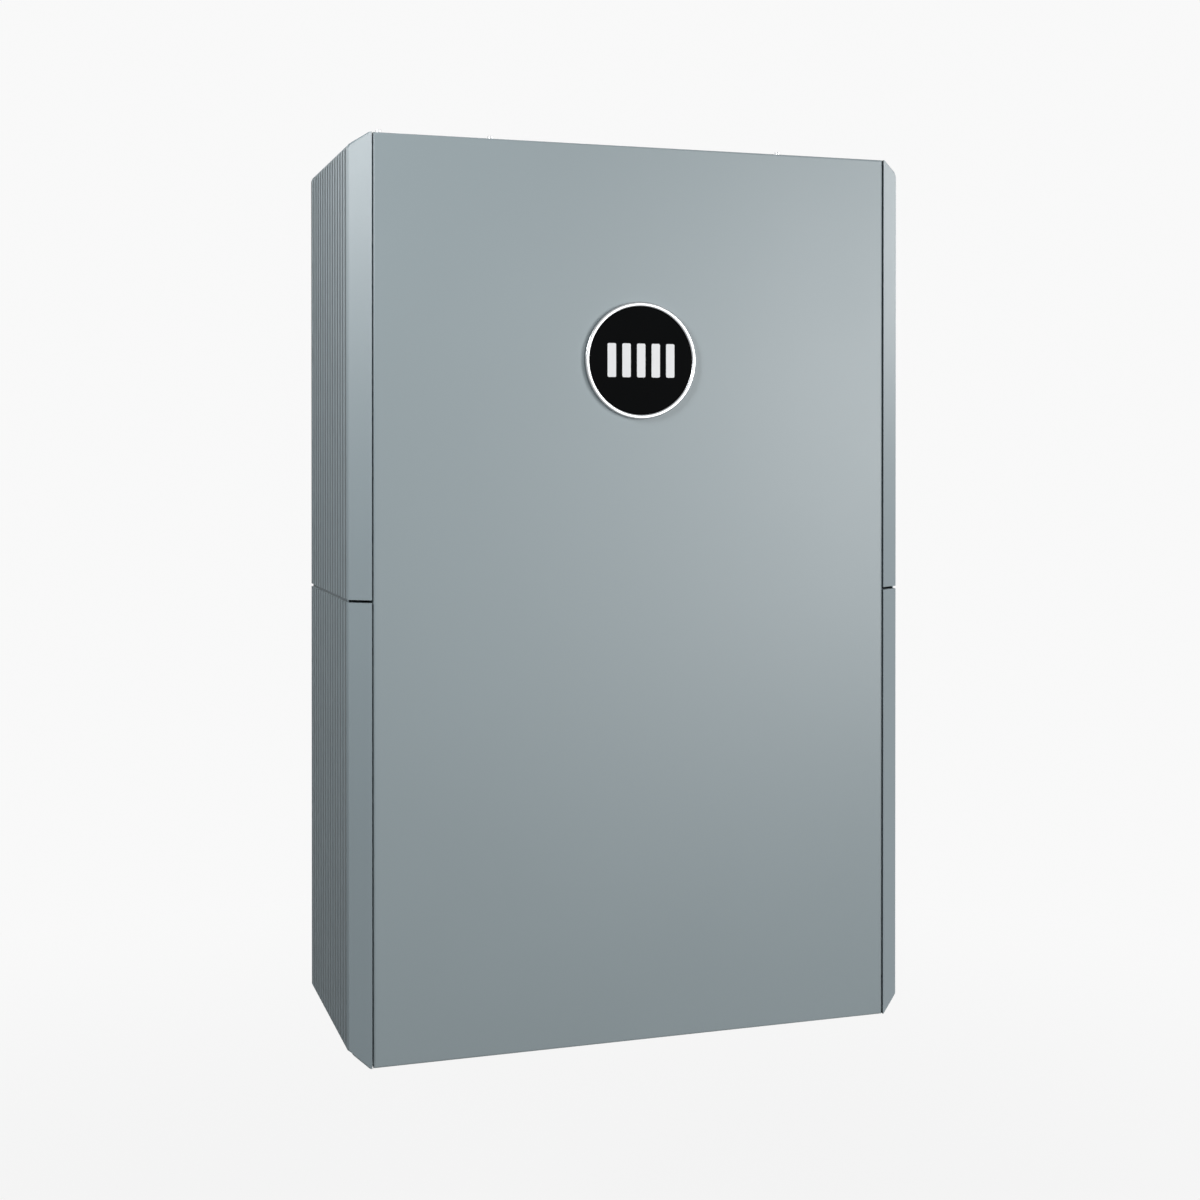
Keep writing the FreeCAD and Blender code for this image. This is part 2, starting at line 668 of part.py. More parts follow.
def side_cover(rim, reach, edge, upwards):
    """Right-hand moulded cover: ribbed tray with four studs for the clips."""
    tray = cover_body(0, COVER_IN, rim, reach, edge, upwards)
    tray = tray.cut(cover_body(COVER_WALL, COVER_IN - 1, rim, reach, edge, upwards))
    tray = tray.cut(cover_grooves(rim, reach, edge, upwards))
    root = COVER_OUT - COVER_WALL
    for y, z in clip_places(edge, upwards):
        tip = TUB_X + STUD_TIP
        tray = tray.fuse(rod(tip, y, z, STUD_R, root - tip, (1, 0, 0)))
    return tray.removeSplitter()


def cable_notch(outer_x, low, high):
    """What is cut from a cover's end wall to let the cables through."""
    return box(COVER_IN, outer_x, entry_y0(), entry_y0() + ENTRY_LENGTH, low, high)


def seam_notch():
    """The notch that both covers have in their end walls at the seam."""
    reach = SEAM_GAP / 2 + COVER_WALL
    return cable_notch(COVER_OUT - COVER_WALL, SEAM_HEIGHT - reach, SEAM_HEIGHT + reach)


def seam_tongue():
    """Strip on the lower cover that closes the seam behind the ribs' faces."""
    low = SEAM_HEIGHT - SEAM_GAP / 2
    return box(COVER_OUT - COVER_WALL, COVER_OUT - TONGUE_SETBACK,
               FRONT_Y + FRONT_BEVEL + TONGUE_SHORT, BACK_Y - TONGUE_SHORT,
               low, low + SEAM_GAP - FACE_GAP)


def upper_cover():
    """Cover from the top edge down to the seam."""
    rim = (TOP_BEVEL, TOP_ROUND)
    cover = side_cover(rim, HEIGHT - SEAM_HEIGHT - SEAM_GAP / 2, HEIGHT, False)
    return cover.cut(seam_notch())


def lower_cover():
    """Cover from the bottom edge up to the seam, also cut away below for the cables."""
    rim = (BOTTOM_BEVEL, BOTTOM_ROUND)
    cover = side_cover(rim, SEAM_HEIGHT - SEAM_GAP / 2, 0.0, True)
    cover = cover.cut(cable_notch(TUB_X + ENTRY_REACH, 0, ENTRY_HEIGHT))
    return cover.cut(seam_notch()).fuse(seam_tongue())


def clip(y, z):
    """A snap clip on the tub's side that grips one cover stud."""
    half = CLIP_SIZE / 2
    block = box(TUB_X, TUB_X + CLIP_DEPTH, y - half, y + half, z - half, z + half)
    return block.cut(rod(TUB_X, y, z, STUD_R + STUD_FIT, CLIP_DEPTH, (1, 0, 0)))


def cover_clips():
    """The eight clips of one side."""
    places = clip_places(HEIGHT, False) + clip_places(0.0, True)
    return group([clip(y, z) for y, z in places])


# ---------------------------------------------------------------- badge
def gauge_half():
    """Half the width of the row of gauge bars."""
    return (GAUGE_BARS - 1) * GAUGE_PITCH / 2 + GAUGE_BAR_WIDTH / 2


def badge_ring():
    """Polished ring standing on the front panel, its outer edge rounded."""
    ring = tube(0, FRONT_Y, BADGE_HEIGHT, BADGE_R, BADGE_R - BADGE_RING, BADGE_PROUD, (0, -1, 0))
    rims = [e for e in ring.Edges if abs(e.BoundBox.YMin - (FRONT_Y - BADGE_PROUD)) < 0.01
            and e.BoundBox.YLength < 0.01]
    return ring.makeFillet(BADGE_RING / 4, rims)


def badge_disc():
    """Black disc inside the ring, with seats for the gauge bars."""
    face = FRONT_Y - BADGE_PROUD + BADGE_RECESS
    disc = rod(0, FRONT_Y, BADGE_HEIGHT, BADGE_R - BADGE_RING - FACE_GAP, FRONT_Y - face, (0, -1, 0))
    return disc.cut(charge_gauge())


def charge_gauge():
    """Row of upright light bars let into the disc."""
    face = FRONT_Y - BADGE_PROUD + BADGE_RECESS
    bars = []
    for k in range(GAUGE_BARS):
        x = -gauge_half() + k * GAUGE_PITCH
        bars.append(box(x, x + GAUGE_BAR_WIDTH, face, face + GAUGE_THICK,
                        BADGE_HEIGHT - GAUGE_BAR_HEIGHT / 2, BADGE_HEIGHT + GAUGE_BAR_HEIGHT / 2))
    return group(bars)


def light_board():
    """Circuit board that lights the gauge, behind the front panel."""
    y = FRONT_Y + SHEET + LIGHT_BOARD_GAP
    return box(-LIGHT_BOARD_WIDTH / 2, LIGHT_BOARD_WIDTH / 2, y, y + BOARD,
               BADGE_HEIGHT - LIGHT_BOARD_HEIGHT / 2, BADGE_HEIGHT + LIGHT_BOARD_HEIGHT / 2)


def light_board_spacers():
    """Four spacers between front panel and light board."""
    inset = 2 * LIGHT_SPACER_R
    spacers = []
    for x in (-LIGHT_BOARD_WIDTH / 2 + inset, LIGHT_BOARD_WIDTH / 2 - inset):
        for dz in (-LIGHT_BOARD_HEIGHT / 2 + inset, LIGHT_BOARD_HEIGHT / 2 - inset):
            spacers.append(rod(x, FRONT_Y + SHEET, BADGE_HEIGHT + dz, LIGHT_SPACER_R,
                               LIGHT_BOARD_GAP, (0, 1, 0)))
    return group(spacers)


# ---------------------------------------------------------------- cells
def row_low(row):
    """Underside of one row of cells."""
    return CELLS_LOW + row * (CELL_THICK + SEPARATOR)


def cell_column():
    """Prismatic cells on their sides, terminals to the front."""
    cells = []
    for row in range(ROWS):
        z = row_low(row)
        cell = box(CELL_X0, CELL_X1, CELL_FRONT, CELL_BACK, z, z + CELL_THICK)
        for x in terminal_xs():
            cell = cell.fuse(rod(x, CELL_FRONT, z + CELL_THICK / 2, CELL_TERMINAL_R,
                                 CELL_TERMINAL, (0, -1, 0)))
        cells.append(cell)
    return group(cells)


def terminal_xs():
    """The two terminals of a cell in the right column."""
    return (CELL_MID_X - CELL_TERMINAL_PITCH / 2, CELL_MID_X + CELL_TERMINAL_PITCH / 2)


def cell_separators():
    """Insulating sheets between the rows of one column."""
    return [box(CELL_X0, CELL_X1, CELL_FRONT, CELL_BACK, row_low(row) - SEPARATOR, row_low(row))
            for row in range(1, ROWS)]


def end_plate(low):
    """Thick plate over both columns, drilled for the tie rods."""
    reach = CELL_X1 + END_PLATE_MARGIN
    plate = box(-reach, reach, CELL_FRONT, CELL_BACK, low, low + END_PLATE)
    for x, y in tie_rod_places():
        plate = plate.cut(rod(x, y, low, TIE_ROD_R + TIE_ROD_FIT, END_PLATE, (0, 0, 1)))
    return plate


def tie_rod_places():
    """(x, y) of the six tie rods: outside both columns and in the gap between them."""
    side = CELL_X1 + END_PLATE_MARGIN / 2
    return [(x, y) for x in (-side, 0.0, side)
            for y in (CELL_FRONT + TIE_ROD_INSET, CELL_BACK - TIE_ROD_INSET)]


def tie_rods():
    """Long threaded rods that squeeze the stack."""
    low = PACK_LOW - TIE_NUT
    high = PACK_TOP + TIE_NUT
    return group([rod(x, y, low, TIE_ROD_R, high - low, (0, 0, 1)) for x, y in tie_rod_places()])


def tie_nuts():
    """A nut at each end of each tie rod."""
    nuts = []
    for x, y in tie_rod_places():
        nuts.append(nut(x, y, PACK_TOP, TIE_NUT_R, TIE_ROD_R, TIE_NUT, (0, 0, 1)))
        nuts.append(nut(x, y, PACK_LOW, TIE_NUT_R, TIE_ROD_R, TIE_NUT, (0, 0, -1)))
    return group(nuts)


def base_rails():
    """Two rails on the tub's floor under the stack."""
    rails = []
    for side in (-1, 1):
        rails.append(box(side * (CELL_MID_X - RAIL_WIDTH), side * (CELL_MID_X + RAIL_WIDTH),
                         CELL_FRONT, CELL_BACK, INNER_LOW, PACK_LOW))
    return group(rails)


def over_columns(y0, y1, z0, z1):
    """One sheet per column, as wide as the cells."""
    sheet = box(CELL_X0, CELL_X1, y0, y1, z0, z1)
    return group([sheet, other_side(sheet)])


def cell_busbars():
    """Series links: each joins two neighbours of a column, the last joins the two columns."""
    left, right = terminal_xs()
    half = CELL_BUSBAR_WIDTH / 2
    bars = []
    for row in range(ROWS - 1):
        x = right if row % 2 == 0 else left
        z0 = row_low(row) + CELL_THICK / 2 - half
        z1 = row_low(row + 1) + CELL_THICK / 2 + half
        bar = box(x - half, x + half, SENSE_Y, BUSBAR_Y, z0, z1)
        bars.append(bar)
        bars.append(other_side(bar))
    z = row_low(0) + CELL_THICK / 2
    bars.append(box(-left - half, left + half, SENSE_Y, BUSBAR_Y, z - half, z + half))
    return group(bars)


def sense_boards():
    """Narrow boards along the links that pick up each cell's voltage and warmth."""
    left, right = terminal_xs()
    z0 = row_low(0) + CELL_THICK / 2
    z1 = row_low(ROWS - 1) + CELL_THICK / 2
    strip = box(right - SENSE_STRIP_WIDTH, right, SENSE_Y - BOARD, SENSE_Y, z0, z1)
    strip = strip.fuse(box(left, right, SENSE_Y - BOARD, SENSE_Y,
                           z1 - SENSE_STRIP_WIDTH, z1))
    return group([strip, other_side(strip)])


# ---------------------------------------------------------------- control room
def mid_shelf():
    """Steel shelf over the stack, cut short in front for the cables."""
    front = CABLE_Y + CABLE_R + SHELF_CABLE_GAP
    return box(-INNER_X, INNER_X, front, INNER_BACK, SHELF_LOW, SHELF_LOW + SHEET)


def heat_spreader():
    """Thick aluminium plate that carries the control board's heat to the tub's back."""
    return box(SPREADER_X0, SPREADER_X1, INNER_BACK - SPREADER, INNER_BACK, SPREADER_Z0, SPREADER_Z1)


def board_box():
    """(x0, x1, z0, z1, y of its back face) of the control board."""
    return (SPREADER_X0 + BMS_MARGIN, SPREADER_X1 - BMS_MARGIN, SPREADER_Z0 + BMS_MARGIN,
            SPREADER_Z1 - BMS_MARGIN, INNER_BACK - SPREADER - STANDOFF)


def control_board():
    """Battery management board."""
    x0, x1, z0, z1, y = board_box()
    return box(x0, x1, y - BOARD, y, z0, z1)


def board_standoffs():
    """Threaded spacers at the board's corners and the middle of its long sides."""
    x0, x1, z0, z1, y = board_box()
    inset = 2 * STANDOFF_R
    rows = (z0 + inset, (z0 + z1) / 2, z1 - inset)
    return group([rod(x, y, z, STANDOFF_R, STANDOFF, (0, 1, 0))
                  for x in (x0 + inset, x1 - inset) for z in rows])


def power_transistors():
    """Two rows of power transistors that switch the current."""
    x0, x1, z0, z1, y = board_box()
    face = y - BOARD
    first = (x0 + x1) / 2 - (TRANSISTORS - 1) * TRANSISTOR_PITCH / 2
    parts = []
    for rise in TRANSISTOR_RISES:
        z = z0 + rise
        for k in range(TRANSISTORS):
            x = first + k * TRANSISTOR_PITCH - TRANSISTOR_WIDTH / 2
            parts.append(box(x, x + TRANSISTOR_WIDTH, face - TRANSISTOR_DEPTH, face, z,
                             z + TRANSISTOR_TALL))
    return group(parts)


def board_capacitors():
    """Upright capacitors along the board's top."""
    x0, x1, z0, z1, y = board_box()
    return group([rod(x0 + CAPACITOR_START + k * CAPACITOR_PITCH, y - BOARD, z1 - CAPACITOR_DROP,
                      CAPACITOR_R, CAPACITOR, (0, -1, 0)) for k in range(CAPACITORS)])


def board_chips():
    """Controller and gate-driver chips."""
    x0, x1, z0, z1, y = board_box()
    face = y - BOARD
    middle = z0 + CHIP_RISE
    start = x0 + CONTROLLER_START
    chips = [box(start, start + CONTROLLER, face - CHIP, face, middle - CONTROLLER / 2,
                 middle + CONTROLLER / 2)]
    for k in range(DRIVERS):
        x = x0 + DRIVER_START + k * DRIVER_PITCH
        chips.append(box(x, x + DRIVER_WIDTH, face - CHIP, face, middle - DRIVER_TALL / 2,
                         middle + DRIVER_TALL / 2))
    return group(chips)


def board_sockets():
    """White plug sockets for the sense boards and heaters."""
    x0, x1, z0, z1, y = board_box()
    face = y - BOARD
    low = z0 + PLUG_SOCKET_RISE
    starts = [x0 + PLUG_SOCKET_START + k * PLUG_SOCKET_PITCH for k in range(PLUG_SOCKETS)]
    return group([box(x, x + PLUG_SOCKET_WIDTH, face - PLUG_SOCKET_DEPTH, face, low,
                      low + PLUG_SOCKET_TALL) for x in starts])


def fuse_y():
    """Depth of the fuse's and shunt's middle."""
    return INNER_BACK - BASE_BLOCK - POWER_BAR / 2


def fuse_x():
    """Middle of the fuse, its left blade in line with the positive cable."""
    return terminal_xs()[0] + FUSE_LENGTH / 2 + FUSE_TAB / 2


def base_block(x, z, width):
    """Insulating block on the tub's back under a current-carrying piece."""
    return box(x - width / 2, x + width / 2, INNER_BACK - BASE_BLOCK, INNER_BACK,
               z - POWER_BAR_WIDTH / 2, z + POWER_BAR_WIDTH / 2)


def insulating_blocks():
    """The blocks under the ends of the fuse and the shunt."""
    fuse_end = FUSE_LENGTH / 2 + FUSE_TAB / 2
    shunt_end = SHUNT_STRIP / 2 + SHUNT_BLOCK / 2
    blocks = []
    for turn in (-1, 1):
        blocks.append(base_block(fuse_x() + turn * fuse_end, FUSE_HEIGHT,
                                 FUSE_TAB - BASE_BLOCK_SHORT))
        blocks.append(base_block(SHUNT_X + turn * shunt_end, SHUNT_HEIGHT,
                                 SHUNT_BLOCK - BASE_BLOCK_SHORT))
    return group(blocks)


def main_fuse():
    """Cartridge fuse with a blade at each end."""
    y = fuse_y()
    half = FUSE_LENGTH / 2
    body = rod(fuse_x() - half, y, FUSE_HEIGHT, FUSE_R, FUSE_LENGTH, (1, 0, 0))
    blade = box(fuse_x() - half - FUSE_TAB, fuse_x() + half + FUSE_TAB, y - POWER_BAR / 2,
                y + POWER_BAR / 2, FUSE_HEIGHT - POWER_BAR_WIDTH / 2,
                FUSE_HEIGHT + POWER_BAR_WIDTH / 2)
    return body.fuse(blade)


def current_shunt():
    """Two brass blocks joined by resistance strips, which measure the current."""
    y = fuse_y() + POWER_BAR / 2
    half = SHUNT_STRIP / 2
    low = SHUNT_HEIGHT - POWER_BAR_WIDTH / 2
    high = SHUNT_HEIGHT + POWER_BAR_WIDTH / 2
    left = box(SHUNT_X - half - SHUNT_BLOCK, SHUNT_X - half, y - SHUNT_DEPTH, y, low, high)
    right = box(SHUNT_X + half, SHUNT_X + half + SHUNT_BLOCK, y - SHUNT_DEPTH, y, low, high)
    shunt = left.fuse(right)
    for k in range(SHUNT_STRIPS):
        z = low + SHUNT_STRIP_START + k * SHUNT_STRIP_PITCH
        shunt = shunt.fuse(box(SHUNT_X - half, SHUNT_X + half, y - SHUNT_DEPTH + SHUNT_STRIP_SEAT,
                               y - SHUNT_STRIP_SEAT, z, z + SHUNT_STRIP_TALL))
    return shunt


def bar_x():
    """Inner face of the copper links behind the right bay's floor."""
    return BAY_INNER_X - POWER_NUT - POWER_BAR


def breaker_stud_heights():
    """The breaker's two rear studs."""
    return (BREAKER_HEIGHT - BREAKER_STUD_RISE, BREAKER_HEIGHT + BREAKER_STUD_RISE)


def terminal_ys():
    """Positive and negative terminal, front and rear."""
    return (BREAKER_Y, BREAKER_Y + TERMINAL_PITCH)


def copper_links():
    """Bars from fuse to breaker, breaker to positive terminal and shunt to negative terminal."""
    x0 = bar_x()
    x1 = x0 + POWER_BAR
    half = POWER_BAR_WIDTH / 2
    low, high = breaker_stud_heights()
    front, rear = terminal_ys()
    to_positive = box(x0, x1, front - half, front + half, TERMINAL_HEIGHT - half, low + half)
    fuse_face = fuse_y() - POWER_BAR / 2
    fuse_end = fuse_x() + FUSE_LENGTH / 2
    shunt_face = fuse_y() + POWER_BAR / 2 - SHUNT_DEPTH
    shunt_end = SHUNT_X + SHUNT_STRIP / 2
    to_breaker = box(x0, x1, front - half, fuse_face, high - half, high + half)
    to_breaker = to_breaker.fuse(box(fuse_end, x1, fuse_face - POWER_BAR, fuse_face,
                                     high - half, high + half))
    to_negative = box(x0, x1, rear - half, shunt_face, SHUNT_HEIGHT - half, SHUNT_HEIGHT + half)
    to_negative = to_negative.fuse(box(shunt_end, x1, shunt_face - POWER_BAR, shunt_face,
                                       SHUNT_HEIGHT - half, SHUNT_HEIGHT + half))
    to_breaker = to_breaker.cut(breaker_stud(high))
    to_positive = to_positive.cut(breaker_stud(low)).cut(terminal_shank(front))
    return group([to_breaker, to_positive, to_negative.cut(terminal_shank(rear))])


def breaker_stud(z):
    """One of the breaker's rear studs, from the inner link through the bay's floor."""
    start = bar_x() - POWER_NUT
    stop = BAY_X + POWER_NUT
    return rod(start, BREAKER_Y, z, POWER_STUD_R, stop - start, (1, 0, 0))


def terminal_shank(y):
    """The thick rear length of a terminal stud, from the inner link through its block."""
    start = bar_x() - POWER_NUT
    stop = BAY_X + TERMINAL_BLOCK_DEPTH
    return rod(start, y, TERMINAL_HEIGHT, TERMINAL_SHANK_R, stop - start, (1, 0, 0))


def terminal_stud(y):
    """Terminal stud: shank, hexagonal collar on the block and the free thread for a lug."""
    face = BAY_X + TERMINAL_BLOCK_DEPTH
    collar = hexagon(face, y, TERMINAL_HEIGHT, POWER_NUT_R, POWER_NUT, (1, 0, 0))
    thread = rod(face + POWER_NUT, y, TERMINAL_HEIGHT, POWER_STUD_R, TERMINAL_STUD - POWER_NUT,
                 (1, 0, 0))
    return terminal_shank(y).fuse(collar).fuse(thread)


def nut_pair(y, z, radius, bore):
    """The nuts either side of a copper link."""
    return [nut(x, y, z, radius, bore, POWER_NUT, (-1, 0, 0)) for x in (bar_x(), BAY_INNER_X)]


def link_nuts():
    """Nuts on the inner ends of the breaker's and the terminals' studs."""
    nuts = []
    for z in breaker_stud_heights():
        nuts += nut_pair(BREAKER_Y, z, POWER_NUT_R, POWER_STUD_R)
    for y in terminal_ys():
        nuts += nut_pair(y, TERMINAL_HEIGHT, TERMINAL_NUT_R, TERMINAL_SHANK_R)
    return group(nuts)


def route(points, radius, thickness):
    """A cable along straight runs with a tangent arc of one radius at each corner."""
    edges = []
    start = points[0]
    for k in range(1, len(points) - 1):
        corner = points[k]
        before = (start - corner).normalize()
        after = (points[k + 1] - corner).normalize()
        into = corner + before * radius
        out = corner + after * radius
        middle = corner + (before + after) * radius
        top = middle - (before + after).normalize() * radius
        edges.append(Part.LineSegment(start, into).toShape())
        edges.append(Part.Arc(into, top, out).toShape())
        start = out
    edges.append(Part.LineSegment(start, points[-1]).toShape())
    path = Part.Wire(edges)
    first = (points[1] - points[0]).normalize()
    ring = Part.Wire(Part.makeCircle(thickness, points[0], first))
    return path.makePipeShell([ring], True, False)


def cable_start(x):
    """Crimp lug on the last cell's terminal, and where the cable leaves it."""
    z = row_low(ROWS - 1) + CELL_THICK / 2
    lug = box(x - LUG_WIDTH / 2, x + LUG_WIDTH / 2, BUSBAR_Y - LUG, BUSBAR_Y, z, z + LUG_LENGTH)
    return lug, V(x, CABLE_Y, z + LUG_LENGTH / 2)


def positive_cable():
    """Red cable from the right column's last cell up to the fuse."""
    lug, start = cable_start(terminal_xs()[0])
    face = fuse_y() - POWER_BAR / 2
    return lug.fuse(route([start, V(start.x, CABLE_Y, FUSE_HEIGHT), V(start.x, face, FUSE_HEIGHT)],
                          CABLE_BEND, CABLE_R))


def negative_cable():
    """Black cable from the left column's last cell up, back and across to the shunt."""
    lug, start = cable_start(-terminal_xs()[0])
    face = fuse_y() + POWER_BAR / 2 - SHUNT_DEPTH
    across = INNER_BACK - CABLE_CROSS
    x = SHUNT_X - SHUNT_STRIP / 2 - SHUNT_BLOCK / 2
    return lug.fuse(route([start, V(start.x, CABLE_Y, SHUNT_HEIGHT),
                           V(start.x, across, SHUNT_HEIGHT), V(x, across, SHUNT_HEIGHT),
                           V(x, face, SHUNT_HEIGHT)], CABLE_BEND, CABLE_R))


def canister_axis():
    """(y, z) of the aerosol canisters' axis."""
    return INNER_BACK - CANISTER_BACK, SHELF_LOW + SHEET + CANISTER_CLIP + CANISTER_R


def aerosol_canisters():
    """Two fire-suppressing aerosol tubes lying on the shelf."""
    y, z = canister_axis()
    return group([rod(x, y, z, CANISTER_R, CANISTER_LENGTH, (1, 0, 0)) for x in CANISTER_STARTS])


def canister_clips():
    """Saddles that hold the tubes to the shelf."""
    y, z = canister_axis()
    wide = CANISTER_R + 2 * CANISTER_CLIP
    saddles = []
    for start in CANISTER_STARTS:
        for place in (CANISTER_CLIP_INSET, CANISTER_LENGTH - CANISTER_CLIP_INSET):
            x = start + place - CANISTER_CLIP_WIDTH / 2
            block = box(x, x + CANISTER_CLIP_WIDTH, y - wide, y + wide, SHELF_LOW + SHEET, z)
            saddles.append(block.cut(rod(x, y, z, CANISTER_R, CANISTER_CLIP_WIDTH, (1, 0, 0))))
    return group(saddles)


# ---------------------------------------------------------------- right bay
def nose_x():
    """Outer face of the breaker's nose."""
    return BAY_X + BREAKER_DEPTH + BREAKER_NOSE


def pivot_x():
    """Axis of the breaker's lever."""
    return nose_x() - LEVER_R


def breaker_body():
    """Moulded breaker with a raised nose, slotted for the lever."""
    half = BREAKER_WIDTH / 2
    tall = BREAKER_TALL / 2
    body = box(BAY_X, BAY_X + BREAKER_DEPTH, BREAKER_Y - half, BREAKER_Y + half,
               BREAKER_HEIGHT - tall, BREAKER_HEIGHT + tall)
    nose = BREAKER_NOSE_TALL / 2
    body = body.fuse(box(BAY_X + BREAKER_DEPTH, nose_x(), BREAKER_Y - half, BREAKER_Y + half,
                         BREAKER_HEIGHT - nose, BREAKER_HEIGHT + nose))
    slot = LEVER_WIDTH / 2 + LEVER_GAP
    reach = LEVER_R + LEVER_GAP
    body = body.cut(rod(pivot_x(), BREAKER_Y - slot, BREAKER_HEIGHT, reach, 2 * slot, (0, 1, 0)))
    swing = reach + LEVER_THICK
    body = body.cut(box(pivot_x(), nose_x(), BREAKER_Y - slot, BREAKER_Y + slot,
                        BREAKER_HEIGHT - swing, BREAKER_HEIGHT + swing))
    hole = slot + TRUNNION
    body = body.cut(rod(pivot_x(), BREAKER_Y - hole, BREAKER_HEIGHT, TRUNNION_R + TRUNNION_FIT,
                        2 * hole, (0, 1, 0)))
    for z in breaker_stud_heights():
        seat = rod(BAY_X, BREAKER_Y, z, POWER_STUD_R, POWER_NUT, (1, 0, 0))
        body = body.cut(seat)
    return body


def breaker_lever():
    """Lever with a hub, two trunnions and a flat grip, resting in its upper position."""
    half = LEVER_WIDTH / 2
    hub = rod(pivot_x(), BREAKER_Y - half, BREAKER_HEIGHT, LEVER_R, LEVER_WIDTH, (0, 1, 0))
    pin = half + TRUNNION
    hub = hub.fuse(rod(pivot_x(), BREAKER_Y - pin, BREAKER_HEIGHT, TRUNNION_R, 2 * pin, (0, 1, 0)))
    grip = box(pivot_x(), pivot_x() + LEVER_REACH, BREAKER_Y - half, BREAKER_Y + half,
               BREAKER_HEIGHT - LEVER_THICK / 2, BREAKER_HEIGHT + LEVER_THICK / 2)
    tip = [e for e in grip.Edges if abs(e.CenterOfMass.x - (pivot_x() + LEVER_REACH)) < 0.01
           and e.BoundBox.YLength > 1]
    grip = grip.makeFillet(LEVER_THICK / 3, tip)
    grip.rotate(V(pivot_x(), BREAKER_Y, BREAKER_HEIGHT), V(0, 1, 0), -LEVER_TILT)
    return hub.fuse(grip)


def terminal_block(y):
    """Square insulator under a power stud."""
    half = TERMINAL_BLOCK / 2
    block = box(BAY_X, BAY_X + TERMINAL_BLOCK_DEPTH, y - half, y + half,
                TERMINAL_HEIGHT - half, TERMINAL_HEIGHT + half)
    corners = [e for e in block.Edges if e.BoundBox.XLength > 1]
    block = block.makeFillet(POWER_STUD_R, corners)
    return block.cut(terminal_shank(y))


def terminal_divider():
    """Insulating wall between the two terminals."""
    front, rear = terminal_ys()
    y = (front + rear) / 2
    half = TERMINAL_BLOCK / 2
    return box(BAY_X, BAY_X + DIVIDER_DEPTH, y - DIVIDER / 2, y + DIVIDER / 2,
               TERMINAL_HEIGHT - half, TERMINAL_HEIGHT + half)


# ---------------------------------------------------------------- left bay, built on the right
def port_window():
    """Hole in the left bay's floor behind the port plate."""
    margin = PORT_WINDOW_MARGIN
    return box(BAY_INNER_X, BAY_X, BAY_Y0 + margin, BAY_Y1 - margin,
               BAY_BOTTOM + margin, BAY_TOP - margin)


def port_ys():
    """Middles of the network sockets."""
    first = BAY_MID_Y - (PORTS - 1) * PORT_PITCH / 2
    return [first + k * PORT_PITCH for k in range(PORTS)]


def port_shape(y, grow):
    """Outer block of one network socket, grown for its hole in the plate."""
    half = PORT_BODY / 2 + grow
    return box(BAY_X + PORT_PLATE + PORT_PROUD - PORT_DEPTH, BAY_X + PORT_PLATE + PORT_PROUD,
               y - half, y + half, PORT_HEIGHT - half, PORT_HEIGHT + half)


def button_ys():
    """Power button and reset button."""
    return (BAY_MID_Y - BUTTON_PITCH / 2, BAY_MID_Y + BUTTON_PITCH / 2)


def lamp_ys():
    """Middles of the status lamps."""
    first = BAY_MID_Y - (LAMPS - 1) * LAMP_PITCH / 2
    return [first + k * LAMP_PITCH for k in range(LAMPS)]


def port_plate():
    """Plate over the window, cut for sockets, buttons, lamps and display."""
    plate = box(BAY_X, BAY_X + PORT_PLATE, BAY_Y0 + PORT_PLATE_CLEAR, BAY_Y1 - PORT_PLATE_CLEAR,
                BAY_BOTTOM + PORT_PLATE_CLEAR, BAY_TOP - PORT_PLATE_CLEAR)
    for y in port_ys():
        plate = plate.cut(port_shape(y, FACE_GAP))
    power, reset = button_ys()
    plate = plate.cut(rod(BAY_X, power, BUTTON_HEIGHT, POWER_BUTTON_R + BUTTON_FIT, PORT_PLATE,
                          (1, 0, 0)))
    plate = plate.cut(rod(BAY_X, reset, BUTTON_HEIGHT, RESET_BUTTON_R + BUTTON_FIT, PORT_PLATE,
                          (1, 0, 0)))
    for y in lamp_ys():
        plate = plate.cut(rod(BAY_X, y, LAMP_HEIGHT, LAMP_R, PORT_PLATE, (1, 0, 0)))
    return plate


def network_sockets():
    """Open-mouthed sockets for network plugs."""
    sockets = []
    for y in port_ys():
        face = BAY_X + PORT_PLATE + PORT_PROUD
        mouth = box(face - PORT_MOUTH_DEPTH, face, y - PORT_MOUTH_WIDTH / 2,
                    y + PORT_MOUTH_WIDTH / 2, PORT_HEIGHT - PORT_MOUTH_TALL / 2,
                    PORT_HEIGHT + PORT_MOUTH_TALL / 2)
        sockets.append(port_shape(y, 0).cut(mouth))
    return group(sockets)


def signal_board():
    """Board behind the port plate that carries sockets, switches and lamps."""
    x = BAY_X + PORT_PLATE + PORT_PROUD - PORT_DEPTH
    margin = SIGNAL_BOARD_MARGIN
    return box(x - BOARD, x, BAY_Y0 + margin, BAY_Y1 - margin, BAY_BOTTOM + margin,
               BAY_TOP - margin)


def signal_board_spacers():
    """Spacers from the port plate to the board."""
    x = BAY_X + PORT_PLATE + PORT_PROUD - PORT_DEPTH
    inset = SIGNAL_BOARD_MARGIN + 2 * STANDOFF_R
    return group([rod(x, y, z, STANDOFF_R, BAY_X - x, (1, 0, 0))
                  for y in (BAY_Y0 + inset, BAY_Y1 - inset)
                  for z in (BAY_BOTTOM + inset, BAY_TOP - inset)])


def bezel(y, outer, bore):
    """Ring round a button."""
    return tube(BAY_X + PORT_PLATE, y, BUTTON_HEIGHT, outer, bore, POWER_BEZEL, (1, 0, 0))


